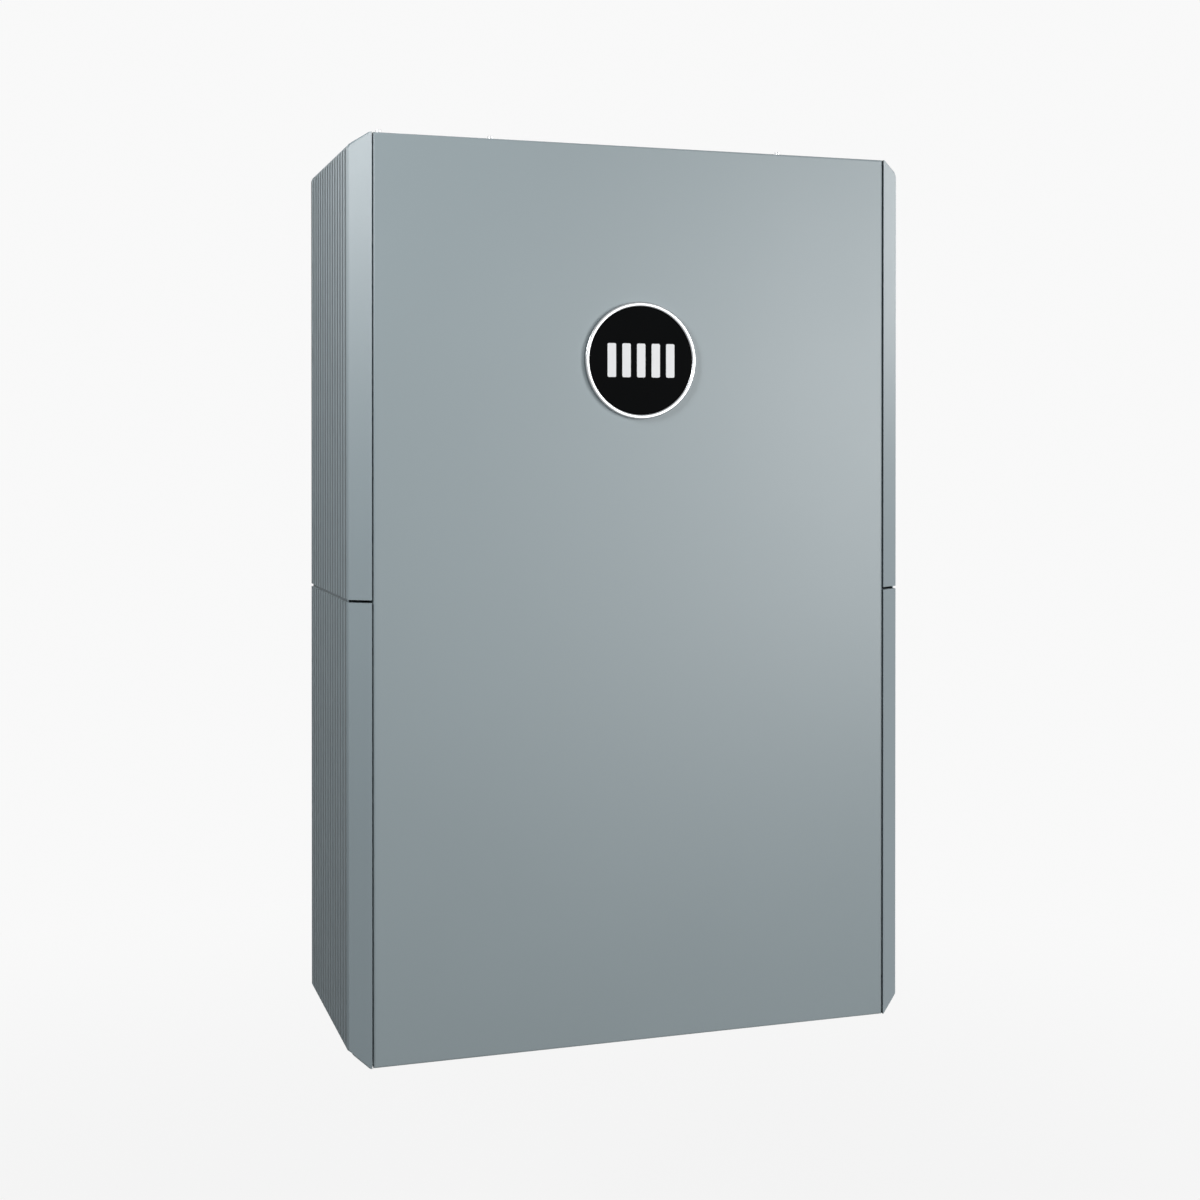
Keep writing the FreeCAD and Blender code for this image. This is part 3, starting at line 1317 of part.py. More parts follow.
def button(y, radius, proud):
    """Button cap with a stem that reaches back through the plate."""
    face = BAY_X + PORT_PLATE + POWER_BEZEL + proud
    cap = rod(BAY_X, y, BUTTON_HEIGHT, radius, face - BAY_X, (1, 0, 0))
    rim = [e for e in cap.Edges if abs(e.BoundBox.XMin - face) < 0.01 and e.BoundBox.XLength < 0.01]
    cap = cap.makeFillet(proud / 3, rim)
    return cap.fuse(rod(BAY_X - BUTTON_STEM + PORT_PLATE, y, BUTTON_HEIGHT, radius / 2,
                        BUTTON_STEM, (1, 0, 0)))


def status_lamps():
    """Small domed lamps."""
    lamps = []
    for y in lamp_ys():
        stem = rod(BAY_X, y, LAMP_HEIGHT, LAMP_R, PORT_PLATE, (1, 0, 0))
        dome = Part.makeSphere(LAMP_R, V(BAY_X + PORT_PLATE, y, LAMP_HEIGHT))
        lamps.append(stem.fuse(dome))
    return group(lamps)


def display_frame():
    """Frame round the display window."""
    x0 = BAY_X + PORT_PLATE
    wide = DISPLAY_WIDTH / 2
    tall = DISPLAY_TALL / 2
    frame = box(x0, x0 + DISPLAY_FRAME, BAY_MID_Y - wide, BAY_MID_Y + wide,
                DISPLAY_HEIGHT - tall, DISPLAY_HEIGHT + tall)
    return frame.cut(display_window())


def display_window():
    """Clear window of the small display."""
    x0 = BAY_X + PORT_PLATE
    wide = DISPLAY_WIDTH / 2 - DISPLAY_FRAME
    tall = DISPLAY_TALL / 2 - DISPLAY_FRAME
    return box(x0, x0 + DISPLAY_FRAME / 2, BAY_MID_Y - wide, BAY_MID_Y + wide,
               DISPLAY_HEIGHT - tall, DISPLAY_HEIGHT + tall)


# ---------------------------------------------------------------- outside fittings
def entry_y0():
    """Front end of the cable entry plate."""
    return FRONT_Y + ENTRY_FRONT


def entry_x():
    """Middle of the cable bores."""
    return TUB_X + (ENTRY_PLATE + ENTRY_REACH) / 2


def grommet_ys():
    """Middles of the two cable bores of one side."""
    middle = entry_y0() + ENTRY_LENGTH / 2
    return (middle - GROMMET_PITCH / 2, middle + GROMMET_PITCH / 2)


def entry_plate(bore):
    """Angle plate low on the tub's side with two grommet holes."""
    tab = box(TUB_X, TUB_X + ENTRY_REACH, entry_y0(), entry_y0() + ENTRY_LENGTH,
              ENTRY_HEIGHT, ENTRY_HEIGHT + ENTRY_PLATE)
    leg = box(TUB_X, TUB_X + ENTRY_PLATE, entry_y0(), entry_y0() + ENTRY_LENGTH,
              ENTRY_HEIGHT, ENTRY_HEIGHT + ENTRY_LEG)
    plate = tab.fuse(leg)
    for y in grommet_ys():
        plate = plate.cut(rod(entry_x(), y, ENTRY_HEIGHT, bore + GROMMET_WALL, ENTRY_PLATE,
                              (0, 0, 1)))
    return plate


def grommets(bore):
    """Rubber rings in the entry plate."""
    rings = []
    for y in grommet_ys():
        low = ENTRY_HEIGHT - GROMMET_FLANGE
        length = ENTRY_PLATE + 2 * GROMMET_FLANGE
        ring = rod(entry_x(), y, ENTRY_HEIGHT, bore + GROMMET_WALL, ENTRY_PLATE, (0, 0, 1))
        for z in (low, ENTRY_HEIGHT + ENTRY_PLATE):
            ring = ring.fuse(rod(entry_x(), y, z, bore + GROMMET_WALL + GROMMET_LIP,
                                 GROMMET_FLANGE, (0, 0, 1)))
        rings.append(ring.cut(rod(entry_x(), y, low, bore, length, (0, 0, 1))))
    return group(rings)


def lift_handle():
    """Round bar on two feet, for carrying the unit with its covers off."""
    y1 = BACK_Y - HANDLE_BACK
    y0 = y1 - HANDLE_SPAN
    x0 = TUB_X + HANDLE_FOOT
    x1 = TUB_X + HANDLE_STAND
    bend = 2 * HANDLE_R
    bar = route([V(x0, y0, HANDLE_HEIGHT), V(x1, y0, HANDLE_HEIGHT), V(x1, y1, HANDLE_HEIGHT),
                 V(x0, y1, HANDLE_HEIGHT)], bend, HANDLE_R)
    for y in (y0, y1):
        bar = bar.fuse(rod(TUB_X, y, HANDLE_HEIGHT, HANDLE_FOOT_R, HANDLE_FOOT, (1, 0, 0)))
    return bar


def earth_y():
    """Depth of the earth stud."""
    return BACK_Y - HANDLE_BACK


def earth_stud():
    """Welded earth stud with a hexagonal collar, low on the right side."""
    stud = rod(TUB_X, earth_y(), EARTH_HEIGHT, EARTH_STUD_R, EARTH_STUD, (1, 0, 0))
    return stud.fuse(hexagon(TUB_X, earth_y(), EARTH_HEIGHT, EARTH_COLLAR_R, EARTH_COLLAR,
                             (1, 0, 0)))


def vent_x():
    """Place of the pressure vent across the unit."""
    return CELL_MID_X


def vent_y():
    """Depth of the pressure vent, between the front panel's edge and the base rails."""
    return (FRONT_Y + PANEL_FLANGE + CELL_FRONT) / 2


def pressure_vent():
    """Membrane vent with a neck through the tub's floor."""
    cap = rod(vent_x(), vent_y(), TUB_LOW, VENT_R, VENT, (0, 0, -1))
    rim = [e for e in cap.Edges if abs(e.BoundBox.ZMin - (TUB_LOW - VENT)) < 0.01
           and e.BoundBox.ZLength < 0.01]
    cap = cap.makeFillet(VENT_ROUND, rim)
    return cap.fuse(rod(vent_x(), vent_y(), TUB_LOW, VENT_NECK_R, 2 * SHEET, (0, 0, 1)))


# ---------------------------------------------------------------- wall bracket
def bracket_low():
    """Lower edge of the bracket's wall leg."""
    return BRACKET_HEIGHT - BRACKET_TALL / 2


def bracket_top():
    """Upper edge of the bracket's wall leg."""
    return BRACKET_HEIGHT + BRACKET_TALL / 2


def hook_top():
    """Upper edge of the bracket's hook leg, on which the unit hangs."""
    return bracket_top() + HOOK_TALL


def wall_bracket():
    """Z-shaped rail: wall leg with four holes, a step, and an upstanding hook leg."""
    half = BRACKET_WIDTH / 2
    wall_leg = box(-half, half, -BRACKET_SHEET, 0, bracket_low(), bracket_top())
    front = -BRACKET_SHEET - HOOK_OFFSET
    step = box(-half, half, front - BRACKET_SHEET, 0, bracket_top() - BRACKET_SHEET, bracket_top())
    hook = box(-half, half, front - BRACKET_SHEET, front, bracket_top() - BRACKET_SHEET, hook_top())
    rail = wall_leg.fuse(step).fuse(hook)
    for x in (-BRACKET_HOLE_DX / 2, BRACKET_HOLE_DX / 2):
        for dz in (-BRACKET_HOLE_DZ / 2, BRACKET_HOLE_DZ / 2):
            rail = rail.cut(rod(x, 0, BRACKET_HEIGHT + dz, BRACKET_HOLE_R, BRACKET_SHEET,
                                (0, -1, 0)))
    for x in lock_screw_places():
        rail = rail.cut(rod(x, 0, lock_height(), LOCK_SCREW_R, WALL_GAP, (0, -1, 0)))
    return rail.removeSplitter()


def hanger_rail():
    """Rail on the tub's back whose downward leg hooks over the wall bracket."""
    half = HANGER_WIDTH / 2
    leg_y = -BRACKET_SHEET
    plate = box(-half, half, BACK_Y, BACK_Y + BRACKET_SHEET, hook_top() - HANGER_DROP,
                hook_top() + BRACKET_SHEET)
    web = box(-half, half, BACK_Y, leg_y, hook_top(), hook_top() + BRACKET_SHEET)
    leg = box(-half, half, leg_y - BRACKET_SHEET, leg_y, hook_top() - HOOK_TALL + BRACKET_SHEET,
              hook_top() + BRACKET_SHEET)
    rail = plate.fuse(web).fuse(leg)
    for x in hanger_bolt_places():
        rail = rail.cut(rod(x, BACK_Y, hanger_bolt_height(), HANGER_BOLT_R, BRACKET_SHEET, (0, 1, 0)))
    return rail.removeSplitter()


def hanger_bolt_places():
    """Bolts that hold the hanger rail to the tub."""
    pitch = (HANGER_WIDTH - 2 * HANGER_BOLT_INSET) / (HANGER_BOLTS - 1)
    return [-HANGER_WIDTH / 2 + HANGER_BOLT_INSET + k * pitch for k in range(HANGER_BOLTS)]


def hanger_bolt_height():
    """Height of the hanger rail's bolts."""
    return hook_top() - HANGER_DROP + HANGER_BOLT_RISE


def hanger_bolts():
    """Low-head bolts through hanger rail and tub."""
    bolts = []
    for x in hanger_bolt_places():
        z = hanger_bolt_height()
        bolt = rod(x, BACK_Y + BRACKET_SHEET, z, HANGER_HEAD_R, HANGER_HEAD, (0, 1, 0))
        shank = rod(x, BACK_Y + BRACKET_SHEET, z, HANGER_BOLT_R, BRACKET_SHEET + SHEET, (0, -1, 0))
        bolts.append(bolt.fuse(shank))
    return group(bolts)


def lock_screw_places():
    """Screws that lock the unit to its bracket, beyond the ends of the hanger rail."""
    inset = (BRACKET_WIDTH - HANGER_WIDTH) / 4
    return (-BRACKET_WIDTH / 2 + inset, BRACKET_WIDTH / 2 - inset)


def lock_height():
    """Height of the lock screws."""
    return bracket_top() + HOOK_TALL / 2


def lock_screws():
    """Screws through the hook leg into the tub's back."""
    front = -BRACKET_SHEET - HOOK_OFFSET
    screws = []
    for x in lock_screw_places():
        screw = rod(x, front, lock_height(), LOCK_SCREW_R, front - BACK_Y, (0, -1, 0))
        screws.append(screw.fuse(rod(x, front, lock_height(), 2 * LOCK_SCREW_R, LOCK_SCREW_HEAD,
                                     (0, 1, 0))))
    return group(screws)


def wall_feet():
    """Rubber feet that keep the unit's lower end off the wall."""
    return group([rod(x, 0, FOOT_HEIGHT, FOOT_R, WALL_GAP, (0, -1, 0)) for x in (-FOOT_X, FOOT_X)])


# ---------------------------------------------------------------- assembly
def save_enclosure():
    """Front panel, tub, lid, bays, covers and badge."""
    save("front_panel", front_panel())
    save("panel_screws", group([panel_screw(x) for x in panel_screw_xs()]))
    save("panel_brackets", panel_brackets())
    save("tub", tub())
    save("inner_lid", lid())
    save("lid_gasket", lid_gasket())
    save("lid_screws", group([lid_screw(x, z) for x, z in lid_screw_places()]))
    save("power_bay", power_bay())
    save("signal_bay", other_side(wiring_bay().cut(port_window())))
    save("upper_cover_right", upper_cover())
    save("upper_cover_left", other_side(upper_cover()))
    save("lower_cover_right", lower_cover())
    save("lower_cover_left", other_side(lower_cover()))
    save("cover_clips", group([cover_clips(), other_side(cover_clips())]))
    save("badge_ring", badge_ring())
    save("badge_disc", badge_disc())
    save("charge_gauge", charge_gauge())
    save("badge_light_board", light_board())


def save_cells():
    """The squeezed stack of cells with its links and boards."""
    column = cell_column()
    save("battery_cells", group([column, other_side(column)]))
    separators = cell_separators()
    pads = separators + [other_side(sheet) for sheet in separators]
    pads.append(over_columns(CELL_FRONT, CELL_BACK, PACK_TOP, SHELF_LOW))
    pads.append(over_columns(CELL_BACK, CELL_BACK + HEATER, CELLS_LOW, CELLS_TOP))
    pads.append(over_columns(CELL_BACK + HEATER, INNER_BACK, CELLS_LOW, CELLS_TOP))
    save("cell_pads", group(pads))
    save("stack_end_plates", group([end_plate(PACK_LOW), end_plate(CELLS_TOP)]))
    save("tie_rods", group([tie_rods(), tie_nuts()]))
    save("base_rails", base_rails())
    save("cell_busbars", cell_busbars())
    save("sense_boards", sense_boards())


def save_control_room():
    """Everything in the sealed room over the cells."""
    save("mid_shelf", mid_shelf())
    save("heat_spreader", heat_spreader())
    save("control_board", control_board())
    save("board_spacers", group([board_standoffs(), light_board_spacers(),
                                 other_side(signal_board_spacers())]))
    save("board_components", group([power_transistors(), board_capacitors(), board_chips(),
                                    board_sockets()]))
    save("insulating_blocks", group([insulating_blocks(), terminal_divider()]))
    save("main_fuse", main_fuse())
    save("current_shunt", current_shunt())
    save("copper_links", copper_links())
    save("positive_cable", positive_cable())
    save("negative_cable", negative_cable())
    save("aerosol_canisters", group([aerosol_canisters(), canister_clips()]))


def save_bays():
    """Power pieces of the right bay and signal pieces of the left bay."""
    save("breaker_body", breaker_body())
    save("breaker_lever", breaker_lever())
    positive, negative = terminal_ys()
    save("positive_terminal_block", terminal_block(positive))
    save("negative_terminal_block", terminal_block(negative))
    studs = [terminal_stud(y) for y in terminal_ys()]
    studs += [breaker_stud(z) for z in breaker_stud_heights()]
    save("power_studs", group(studs))
    save("power_nuts", link_nuts())
    power, reset = button_ys()
    save("port_plate", other_side(port_plate()))
    save("network_sockets", other_side(network_sockets()))
    save("signal_board", other_side(signal_board()))
    bezels = [bezel(power, POWER_BEZEL_R, POWER_BUTTON_R + BUTTON_FIT),
              bezel(reset, RESET_BEZEL_R, RESET_BUTTON_R + BUTTON_FIT), display_frame()]
    save("panel_bezels", other_side(group(bezels)))
    save("power_button", other_side(button(power, POWER_BUTTON_R, POWER_BUTTON_PROUD)))
    save("reset_button", other_side(button(reset, RESET_BUTTON_R, RESET_BUTTON_PROUD)))
    save("status_lamps", other_side(status_lamps()))
    save("display_window", other_side(display_window()))


def save_outside():
    """Cable entries, handles, earth terminal, vent and the wall fixing."""
    save("entry_plates", group([entry_plate(GROMMET_R), other_side(entry_plate(SIGNAL_GROMMET_R))]))
    save("cable_grommets", group([grommets(GROMMET_R), other_side(grommets(SIGNAL_GROMMET_R))]))
    save("lift_handles", group([lift_handle(), other_side(lift_handle())]))
    save("earth_terminal", earth_stud())
    save("pressure_vent", pressure_vent())
    save("wall_bracket", wall_bracket())
    save("hanger_rail", hanger_rail())
    save("bracket_bolts", group([hanger_bolts(), lock_screws()]))
    save("wall_feet", wall_feet())


os.makedirs("parts", exist_ok=True)
save_enclosure()
save_cells()
save_control_room()
save_bays()
save_outside()
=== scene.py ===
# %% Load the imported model
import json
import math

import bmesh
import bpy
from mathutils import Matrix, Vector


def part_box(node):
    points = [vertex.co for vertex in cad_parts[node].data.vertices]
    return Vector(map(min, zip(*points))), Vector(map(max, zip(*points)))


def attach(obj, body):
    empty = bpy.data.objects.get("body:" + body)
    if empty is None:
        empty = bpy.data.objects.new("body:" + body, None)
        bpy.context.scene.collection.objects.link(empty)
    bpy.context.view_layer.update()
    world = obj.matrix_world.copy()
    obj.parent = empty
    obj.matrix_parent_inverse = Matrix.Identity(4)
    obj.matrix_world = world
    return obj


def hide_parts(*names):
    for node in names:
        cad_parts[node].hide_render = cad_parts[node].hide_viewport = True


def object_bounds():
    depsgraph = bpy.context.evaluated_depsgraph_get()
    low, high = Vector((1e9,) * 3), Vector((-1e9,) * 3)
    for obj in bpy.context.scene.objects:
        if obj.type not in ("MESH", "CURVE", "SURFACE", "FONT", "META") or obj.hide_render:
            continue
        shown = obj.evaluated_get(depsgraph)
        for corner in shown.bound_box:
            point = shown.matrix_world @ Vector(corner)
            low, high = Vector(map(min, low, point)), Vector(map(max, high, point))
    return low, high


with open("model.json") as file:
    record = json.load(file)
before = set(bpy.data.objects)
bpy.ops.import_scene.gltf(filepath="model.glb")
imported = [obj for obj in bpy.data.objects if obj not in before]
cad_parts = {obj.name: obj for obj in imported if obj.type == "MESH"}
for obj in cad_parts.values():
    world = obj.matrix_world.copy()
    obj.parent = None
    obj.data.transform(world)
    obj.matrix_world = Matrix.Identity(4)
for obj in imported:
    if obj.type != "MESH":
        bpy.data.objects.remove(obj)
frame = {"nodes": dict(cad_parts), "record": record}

# %% [markdown]
# The wall battery is already built as sixty solid nodes, which arrive here in metres and in
# their places. This lesson dresses them. The big outer pieces that the eye rests on are
# modelled again as thin shells with soft edges, and every other node keeps its exact shape
# and gets a finish of its own. Sizes are read from the loaded nodes wherever they can be, so
# the new pieces fit without any fitting.

SOLIDS_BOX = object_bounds()
print("solids span", [round(side, 4) for side in SOLIDS_BOX[1] - SOLIDS_BOX[0]])

# %% [markdown]
# Modelling by hand always starts in the same way: nothing else may be selected, the piece is
# opened in edit mode, and a few faces or edges are picked. With no mouse, picking is done by
# a test on each face or edge, such as where its middle lies or where it points. These small
# helpers do that.

# %% Selecting and opening pieces
def deselect_all():
    """Leave edit mode and deselect every object."""
    current = bpy.context.object
    if current is not None and current.mode == "EDIT":
        bpy.ops.object.mode_set(mode="OBJECT")
    bpy.ops.object.select_all(action="DESELECT")


def make_active(piece):
    """Select one piece alone."""
    deselect_all()
    bpy.context.view_layer.objects.active = piece
    piece.select_set(True)


def edit(piece):
    """Open one piece in edit mode, with all of its mesh selected."""
    make_active(piece)
    bpy.ops.object.mode_set(mode="EDIT")
    bpy.ops.mesh.select_all(action="SELECT")


def middle(item):
    """Middle of a face or an edge."""
    return sum((corner.co for corner in item.verts), Vector()) / len(item.verts)


def choose(piece, kind, test):
    """Select only the faces or edges of the open piece that pass a test."""
    bpy.ops.mesh.select_mode(type=kind)
    bpy.ops.mesh.select_all(action="DESELECT")
    mesh = bmesh.from_edit_mesh(piece.data)
    items = mesh.faces if kind == "FACE" else mesh.edges
    chosen = [item for item in items if test(item)]
    for item in chosen:
        item.select_set(True)
    bmesh.update_edit_mesh(piece.data)
    return len(chosen)


def near(value, target, slack=0.00002):
    """True where two lengths are the same within a few hundredths of a millimetre."""
    return abs(value - target) < slack


print("helpers for picking are ready")

# %% [markdown]
# A piece then goes through the same few steps, whatever its shape. It starts from a cube or
# another primitive, its modifiers are applied at once so that its mesh is final, doubled
# corners are merged, and it is shaded smooth only across soft edges. Last, it is told which
# body it rides on, which solid it stands for and which finish it wears.

# %% Starting and finishing pieces
def block(name, low, high):
    """A cube primitive stretched between two corners, its place kept in its mesh."""
    low = Vector(low)
    high = Vector(high)
    deselect_all()
    bpy.ops.mesh.primitive_cube_add(size=1, location=(low + high) / 2, scale=high - low)
    bpy.ops.object.transform_apply(location=True, rotation=True, scale=True)
    return named(bpy.context.object, name)


def named(piece, name):
    """Give a new piece and its mesh one plain name."""
    piece.name = name
    piece.data.name = name
    return piece


def apply_modifier(piece, kind, **settings):
    """Add a modifier, set it and apply it at once."""
    make_active(piece)
    bpy.ops.object.modifier_add(type=kind)
    modifier = piece.modifiers[-1]
    for setting, value in settings.items():
        setattr(modifier, setting, value)
    bpy.ops.object.modifier_apply(modifier=modifier.name)


def smooth(piece, angle=32):
    """Smooth shading up to an angle, with flat faces kept flat by weighted normals."""
    make_active(piece)
    bpy.ops.object.shade_smooth_by_angle(angle=math.radians(angle))
    apply_modifier(piece, "WEIGHTED_NORMAL", keep_sharp=True)


def clean(piece):
    """Merge doubled corners and turn every face outwards."""
    edit(piece)
    bpy.ops.mesh.remove_doubles(threshold=0.00002)
    bpy.ops.mesh.normals_make_consistent(inside=False)
    bpy.ops.object.mode_set(mode="OBJECT")


def dress(piece, body, slot, *nodes):
    """Let a finished piece ride on its body and stand for its solids."""
    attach(piece, body)
    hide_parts(*nodes)
    piece.data.materials.clear()
    piece.data.materials.append(FINISHES[slot])
    print(piece.name, "has", len(piece.data.polygons), "faces")


print("helpers for pieces are ready")

# %% [markdown]
# ## The camera
# The unit is seen from a little to its left, with the lens at about two thirds of its height
# and level, so that its upright edges stay upright in the picture. A level camera that sits
# above the middle of its subject needs its picture plane slid down, which is what the shift
# does. The place is worked out from the front panel, the largest flat face of the unit.

# %% Camera
PANEL_LOW, PANEL_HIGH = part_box("front_panel")
CAMERA_LEFT = 0.586         # camera from the panel's middle
CAMERA_AWAY = 1.689         # and from its front face
CAMERA_UP = 0.594           # and above its bottom edge
CAMERA_TILT = 89.68         # degrees, where 90 is level
CAMERA_TURN = -17.98        # degrees, where 0 looks straight at the front
CAMERA_LENS = 53.3          # millimetres, on a sensor 36 mm wide
CAMERA_SHIFT = (-0.0033, -0.116)

bpy.ops.object.camera_add(
    location=(-CAMERA_LEFT, PANEL_LOW.y - CAMERA_AWAY, PANEL_LOW.z + CAMERA_UP),
    rotation=(math.radians(CAMERA_TILT), 0, math.radians(CAMERA_TURN)))
camera = bpy.context.object
camera.name = "camera"
camera.data.lens = CAMERA_LENS
camera.data.sensor_width = 36
camera.data.shift_x = CAMERA_SHIFT[0]
camera.data.shift_y = CAMERA_SHIFT[1]
bpy.context.scene.camera = camera
print("camera stands at", [round(value, 3) for value in camera.location])

# %% [markdown]
# ## Finishes
# Almost every finish on the unit is one of a few kinds: powder paint, moulded plastic, bare
# or plated metal, rubber. Each is the same small recipe with other numbers. A noise pattern,
# read in the piece's own coordinates so that it stays put, makes the colour a little uneven.
# A much finer one lifts the surface as a bump, and the first one also makes some patches duller than
# others, as handling and dust do. One recipe keeps the finishes alike in quality, and the numbers
# make them different.

# %% A finish from a colour and its grain
def fresh(name):
    """A new material with its shader, its node tree and object coordinates."""
    material = bpy.data.materials.new(name)
    material.use_nodes = True
    tree = material.node_tree
    shader = tree.nodes["Principled BSDF"]
    place = tree.nodes.new("ShaderNodeTexCoord").outputs["Object"]
    return material, tree, shader, place


def noise(tree, place, size, detail=2.0, stretch=(1, 1, 1)):
    """Noise whose grains are about one size across, in metres, drawn out along an axis."""
    turned = tree.nodes.new("ShaderNodeMapping")
    turned.inputs["Scale"].default_value = stretch
    tree.links.new(place, turned.inputs["Vector"])
    pattern = tree.nodes.new("ShaderNodeTexNoise")
    pattern.inputs["Scale"].default_value = 1 / size
    pattern.inputs["Detail"].default_value = detail
    tree.links.new(turned.outputs["Vector"], pattern.inputs["Vector"])
    return pattern.outputs["Fac"]


def spread(tree, value, low, high):
    """Map a pattern's usual range onto a range of values."""
    node = tree.nodes.new("ShaderNodeMapRange")
    node.inputs["From Min"].default_value = 0.3
    node.inputs["From Max"].default_value = 0.7
    node.inputs["To Min"].default_value = low
    node.inputs["To Max"].default_value = high
    tree.links.new(value, node.inputs["Value"])
    return node.outputs["Result"]


def shade(tree, colour, factor):
    """A colour made lighter and darker by a factor."""
    node = tree.nodes.new("ShaderNodeVectorMath")
    node.operation = "SCALE"
    node.inputs[0].default_value = colour
    tree.links.new(factor, node.inputs["Scale"])
    return node.outputs["Vector"]


def finish(name, colour, rough, metal=0.0, uneven=0.05, patch=0.08, grain=0.0012, depth=0.00003,
           dull=0.06, stretch=(1, 1, 1)):
    """The common recipe: an uneven colour, a fine bump and patchy gloss."""
    material, tree, shader, place = fresh(name)
    patches = noise(tree, place, patch, 4.0)
    shader.inputs["Metallic"].default_value = metal
    tree.links.new(shade(tree, colour, spread(tree, patches, 1 - uneven, 1 + uneven)),
                   shader.inputs["Base Color"])
    fine = noise(tree, place, grain, 2.0, stretch)
    gloss = tree.nodes.new("ShaderNodeMath")
    gloss.operation = "ADD"
    tree.links.new(spread(tree, patches, rough - dull / 2, rough + dull / 2), gloss.inputs[0])
    tree.links.new(spread(tree, fine, -dull / 2, dull / 2), gloss.inputs[1])
    tree.links.new(gloss.outputs["Value"], shader.inputs["Roughness"])
    bump = tree.nodes.new("ShaderNodeBump")
    bump.inputs["Strength"].default_value = 1.0
    bump.inputs["Distance"].default_value = depth
    tree.links.new(fine, bump.inputs["Height"])
    tree.links.new(bump.outputs["Normal"], shader.inputs["Normal"])
    return material


# %% [markdown]
# ### The paint of the panel and the covers
# The outside of the unit is sprayed in one cool grey with a silky gloss. Powder paint flows
# into very shallow dimples a millimetre or two apart, called orange peel, and they are what
# stops a large flat panel from looking like a sheet of paper. The covers are moulded plastic
# in the same grey. Their grain is broader and almost flat, and they are a touch duller.

# %% Paints and plastics
BATTERY_GREY = (0.276, 0.332, 0.354)
COVER_GREY = (0.268, 0.326, 0.352)

FINISHES = {
    "panel_paint": finish("panel_paint", BATTERY_GREY, 0.36, uneven=0.012, patch=0.2,
                          grain=0.0016, depth=0.000010, dull=0.03),
    "cover_paint": finish("cover_paint", COVER_GREY, 0.38, uneven=0.015, patch=0.15,
                          grain=0.0025, depth=0.000001, dull=0.03),
    "tub_paint": finish("tub_paint", (0.20, 0.225, 0.24), 0.52, uneven=0.03, patch=0.12,
                        grain=0.0018, depth=0.00004, dull=0.08),
    "rail_black": finish("rail_black", (0.022, 0.022, 0.024), 0.48, uneven=0.15, patch=0.05,
                         grain=0.0010, depth=0.00003, dull=0.10),
    "canister": finish("canister", (0.52, 0.035, 0.025), 0.30, uneven=0.06, patch=0.03,
                       grain=0.0015, depth=0.00002),
    "black_part": finish("black_part", (0.020, 0.020, 0.022), 0.55, uneven=0.15, patch=0.02,
                         grain=0.0005, depth=0.00003, dull=0.12),
    "red_block": finish("red_block", (0.50, 0.025, 0.020), 0.42, uneven=0.05, patch=0.02,
                        grain=0.0005, depth=0.00002, dull=0.10),
    "cable_red": finish("cable_red", (0.48, 0.020, 0.016), 0.50, uneven=0.06, patch=0.02,
                        grain=0.0008, depth=0.00003, dull=0.10),
    "cable_black": finish("cable_black", (0.016, 0.016, 0.017), 0.52, uneven=0.15, patch=0.02,
                          grain=0.0008, depth=0.00003, dull=0.10),
    "dark_rubber": finish("dark_rubber", (0.022, 0.022, 0.022), 0.80, uneven=0.20, patch=0.015,
                          grain=0.0006, depth=0.00005, dull=0.10),
    "pad_grey": finish("pad_grey", (0.14, 0.145, 0.15), 0.85, uneven=0.12, patch=0.01,
                       grain=0.0007, depth=0.00010, dull=0.10),
    "cell_case": finish("cell_case", (0.05, 0.13, 0.34), 0.35, uneven=0.05, patch=0.04,
                        grain=0.0040, depth=0.00008, dull=0.12),
    "fuse_body": finish("fuse_body", (0.68, 0.65, 0.57), 0.60, uneven=0.05, patch=0.01,
                        grain=0.0004, depth=0.00002, dull=0.10),
}


print(len(FINISHES), "paints and plastics")

# %% [markdown]
# The ribbed side is textured in the mould, so its faces are duller than the smooth slanted edges and
# the grooves' sides. They are also painted darker: this is painted shade, standing in for the shade
# that the lamps leave on the ribbed side, and it is what makes the ribs stand out from the front.
# Two materials on one cover would need a border drawn between them. One material that asks where a
# face points needs none, because the ribs' faces point along X and the others do not.

# %% Dull ribs with painted shade
RIB_DULL = 0.40             # roughness that the ribs' faces add
# painted shade: how bright the ribs' faces are painted beside the rest of the cover
RIB_PAINTED_SHADE = 0.45            # brightness of the ribs' faces beside the rest of the cover
RIB_FACING = (0.75, 0.97)   # how far a face points along X where this starts and is full


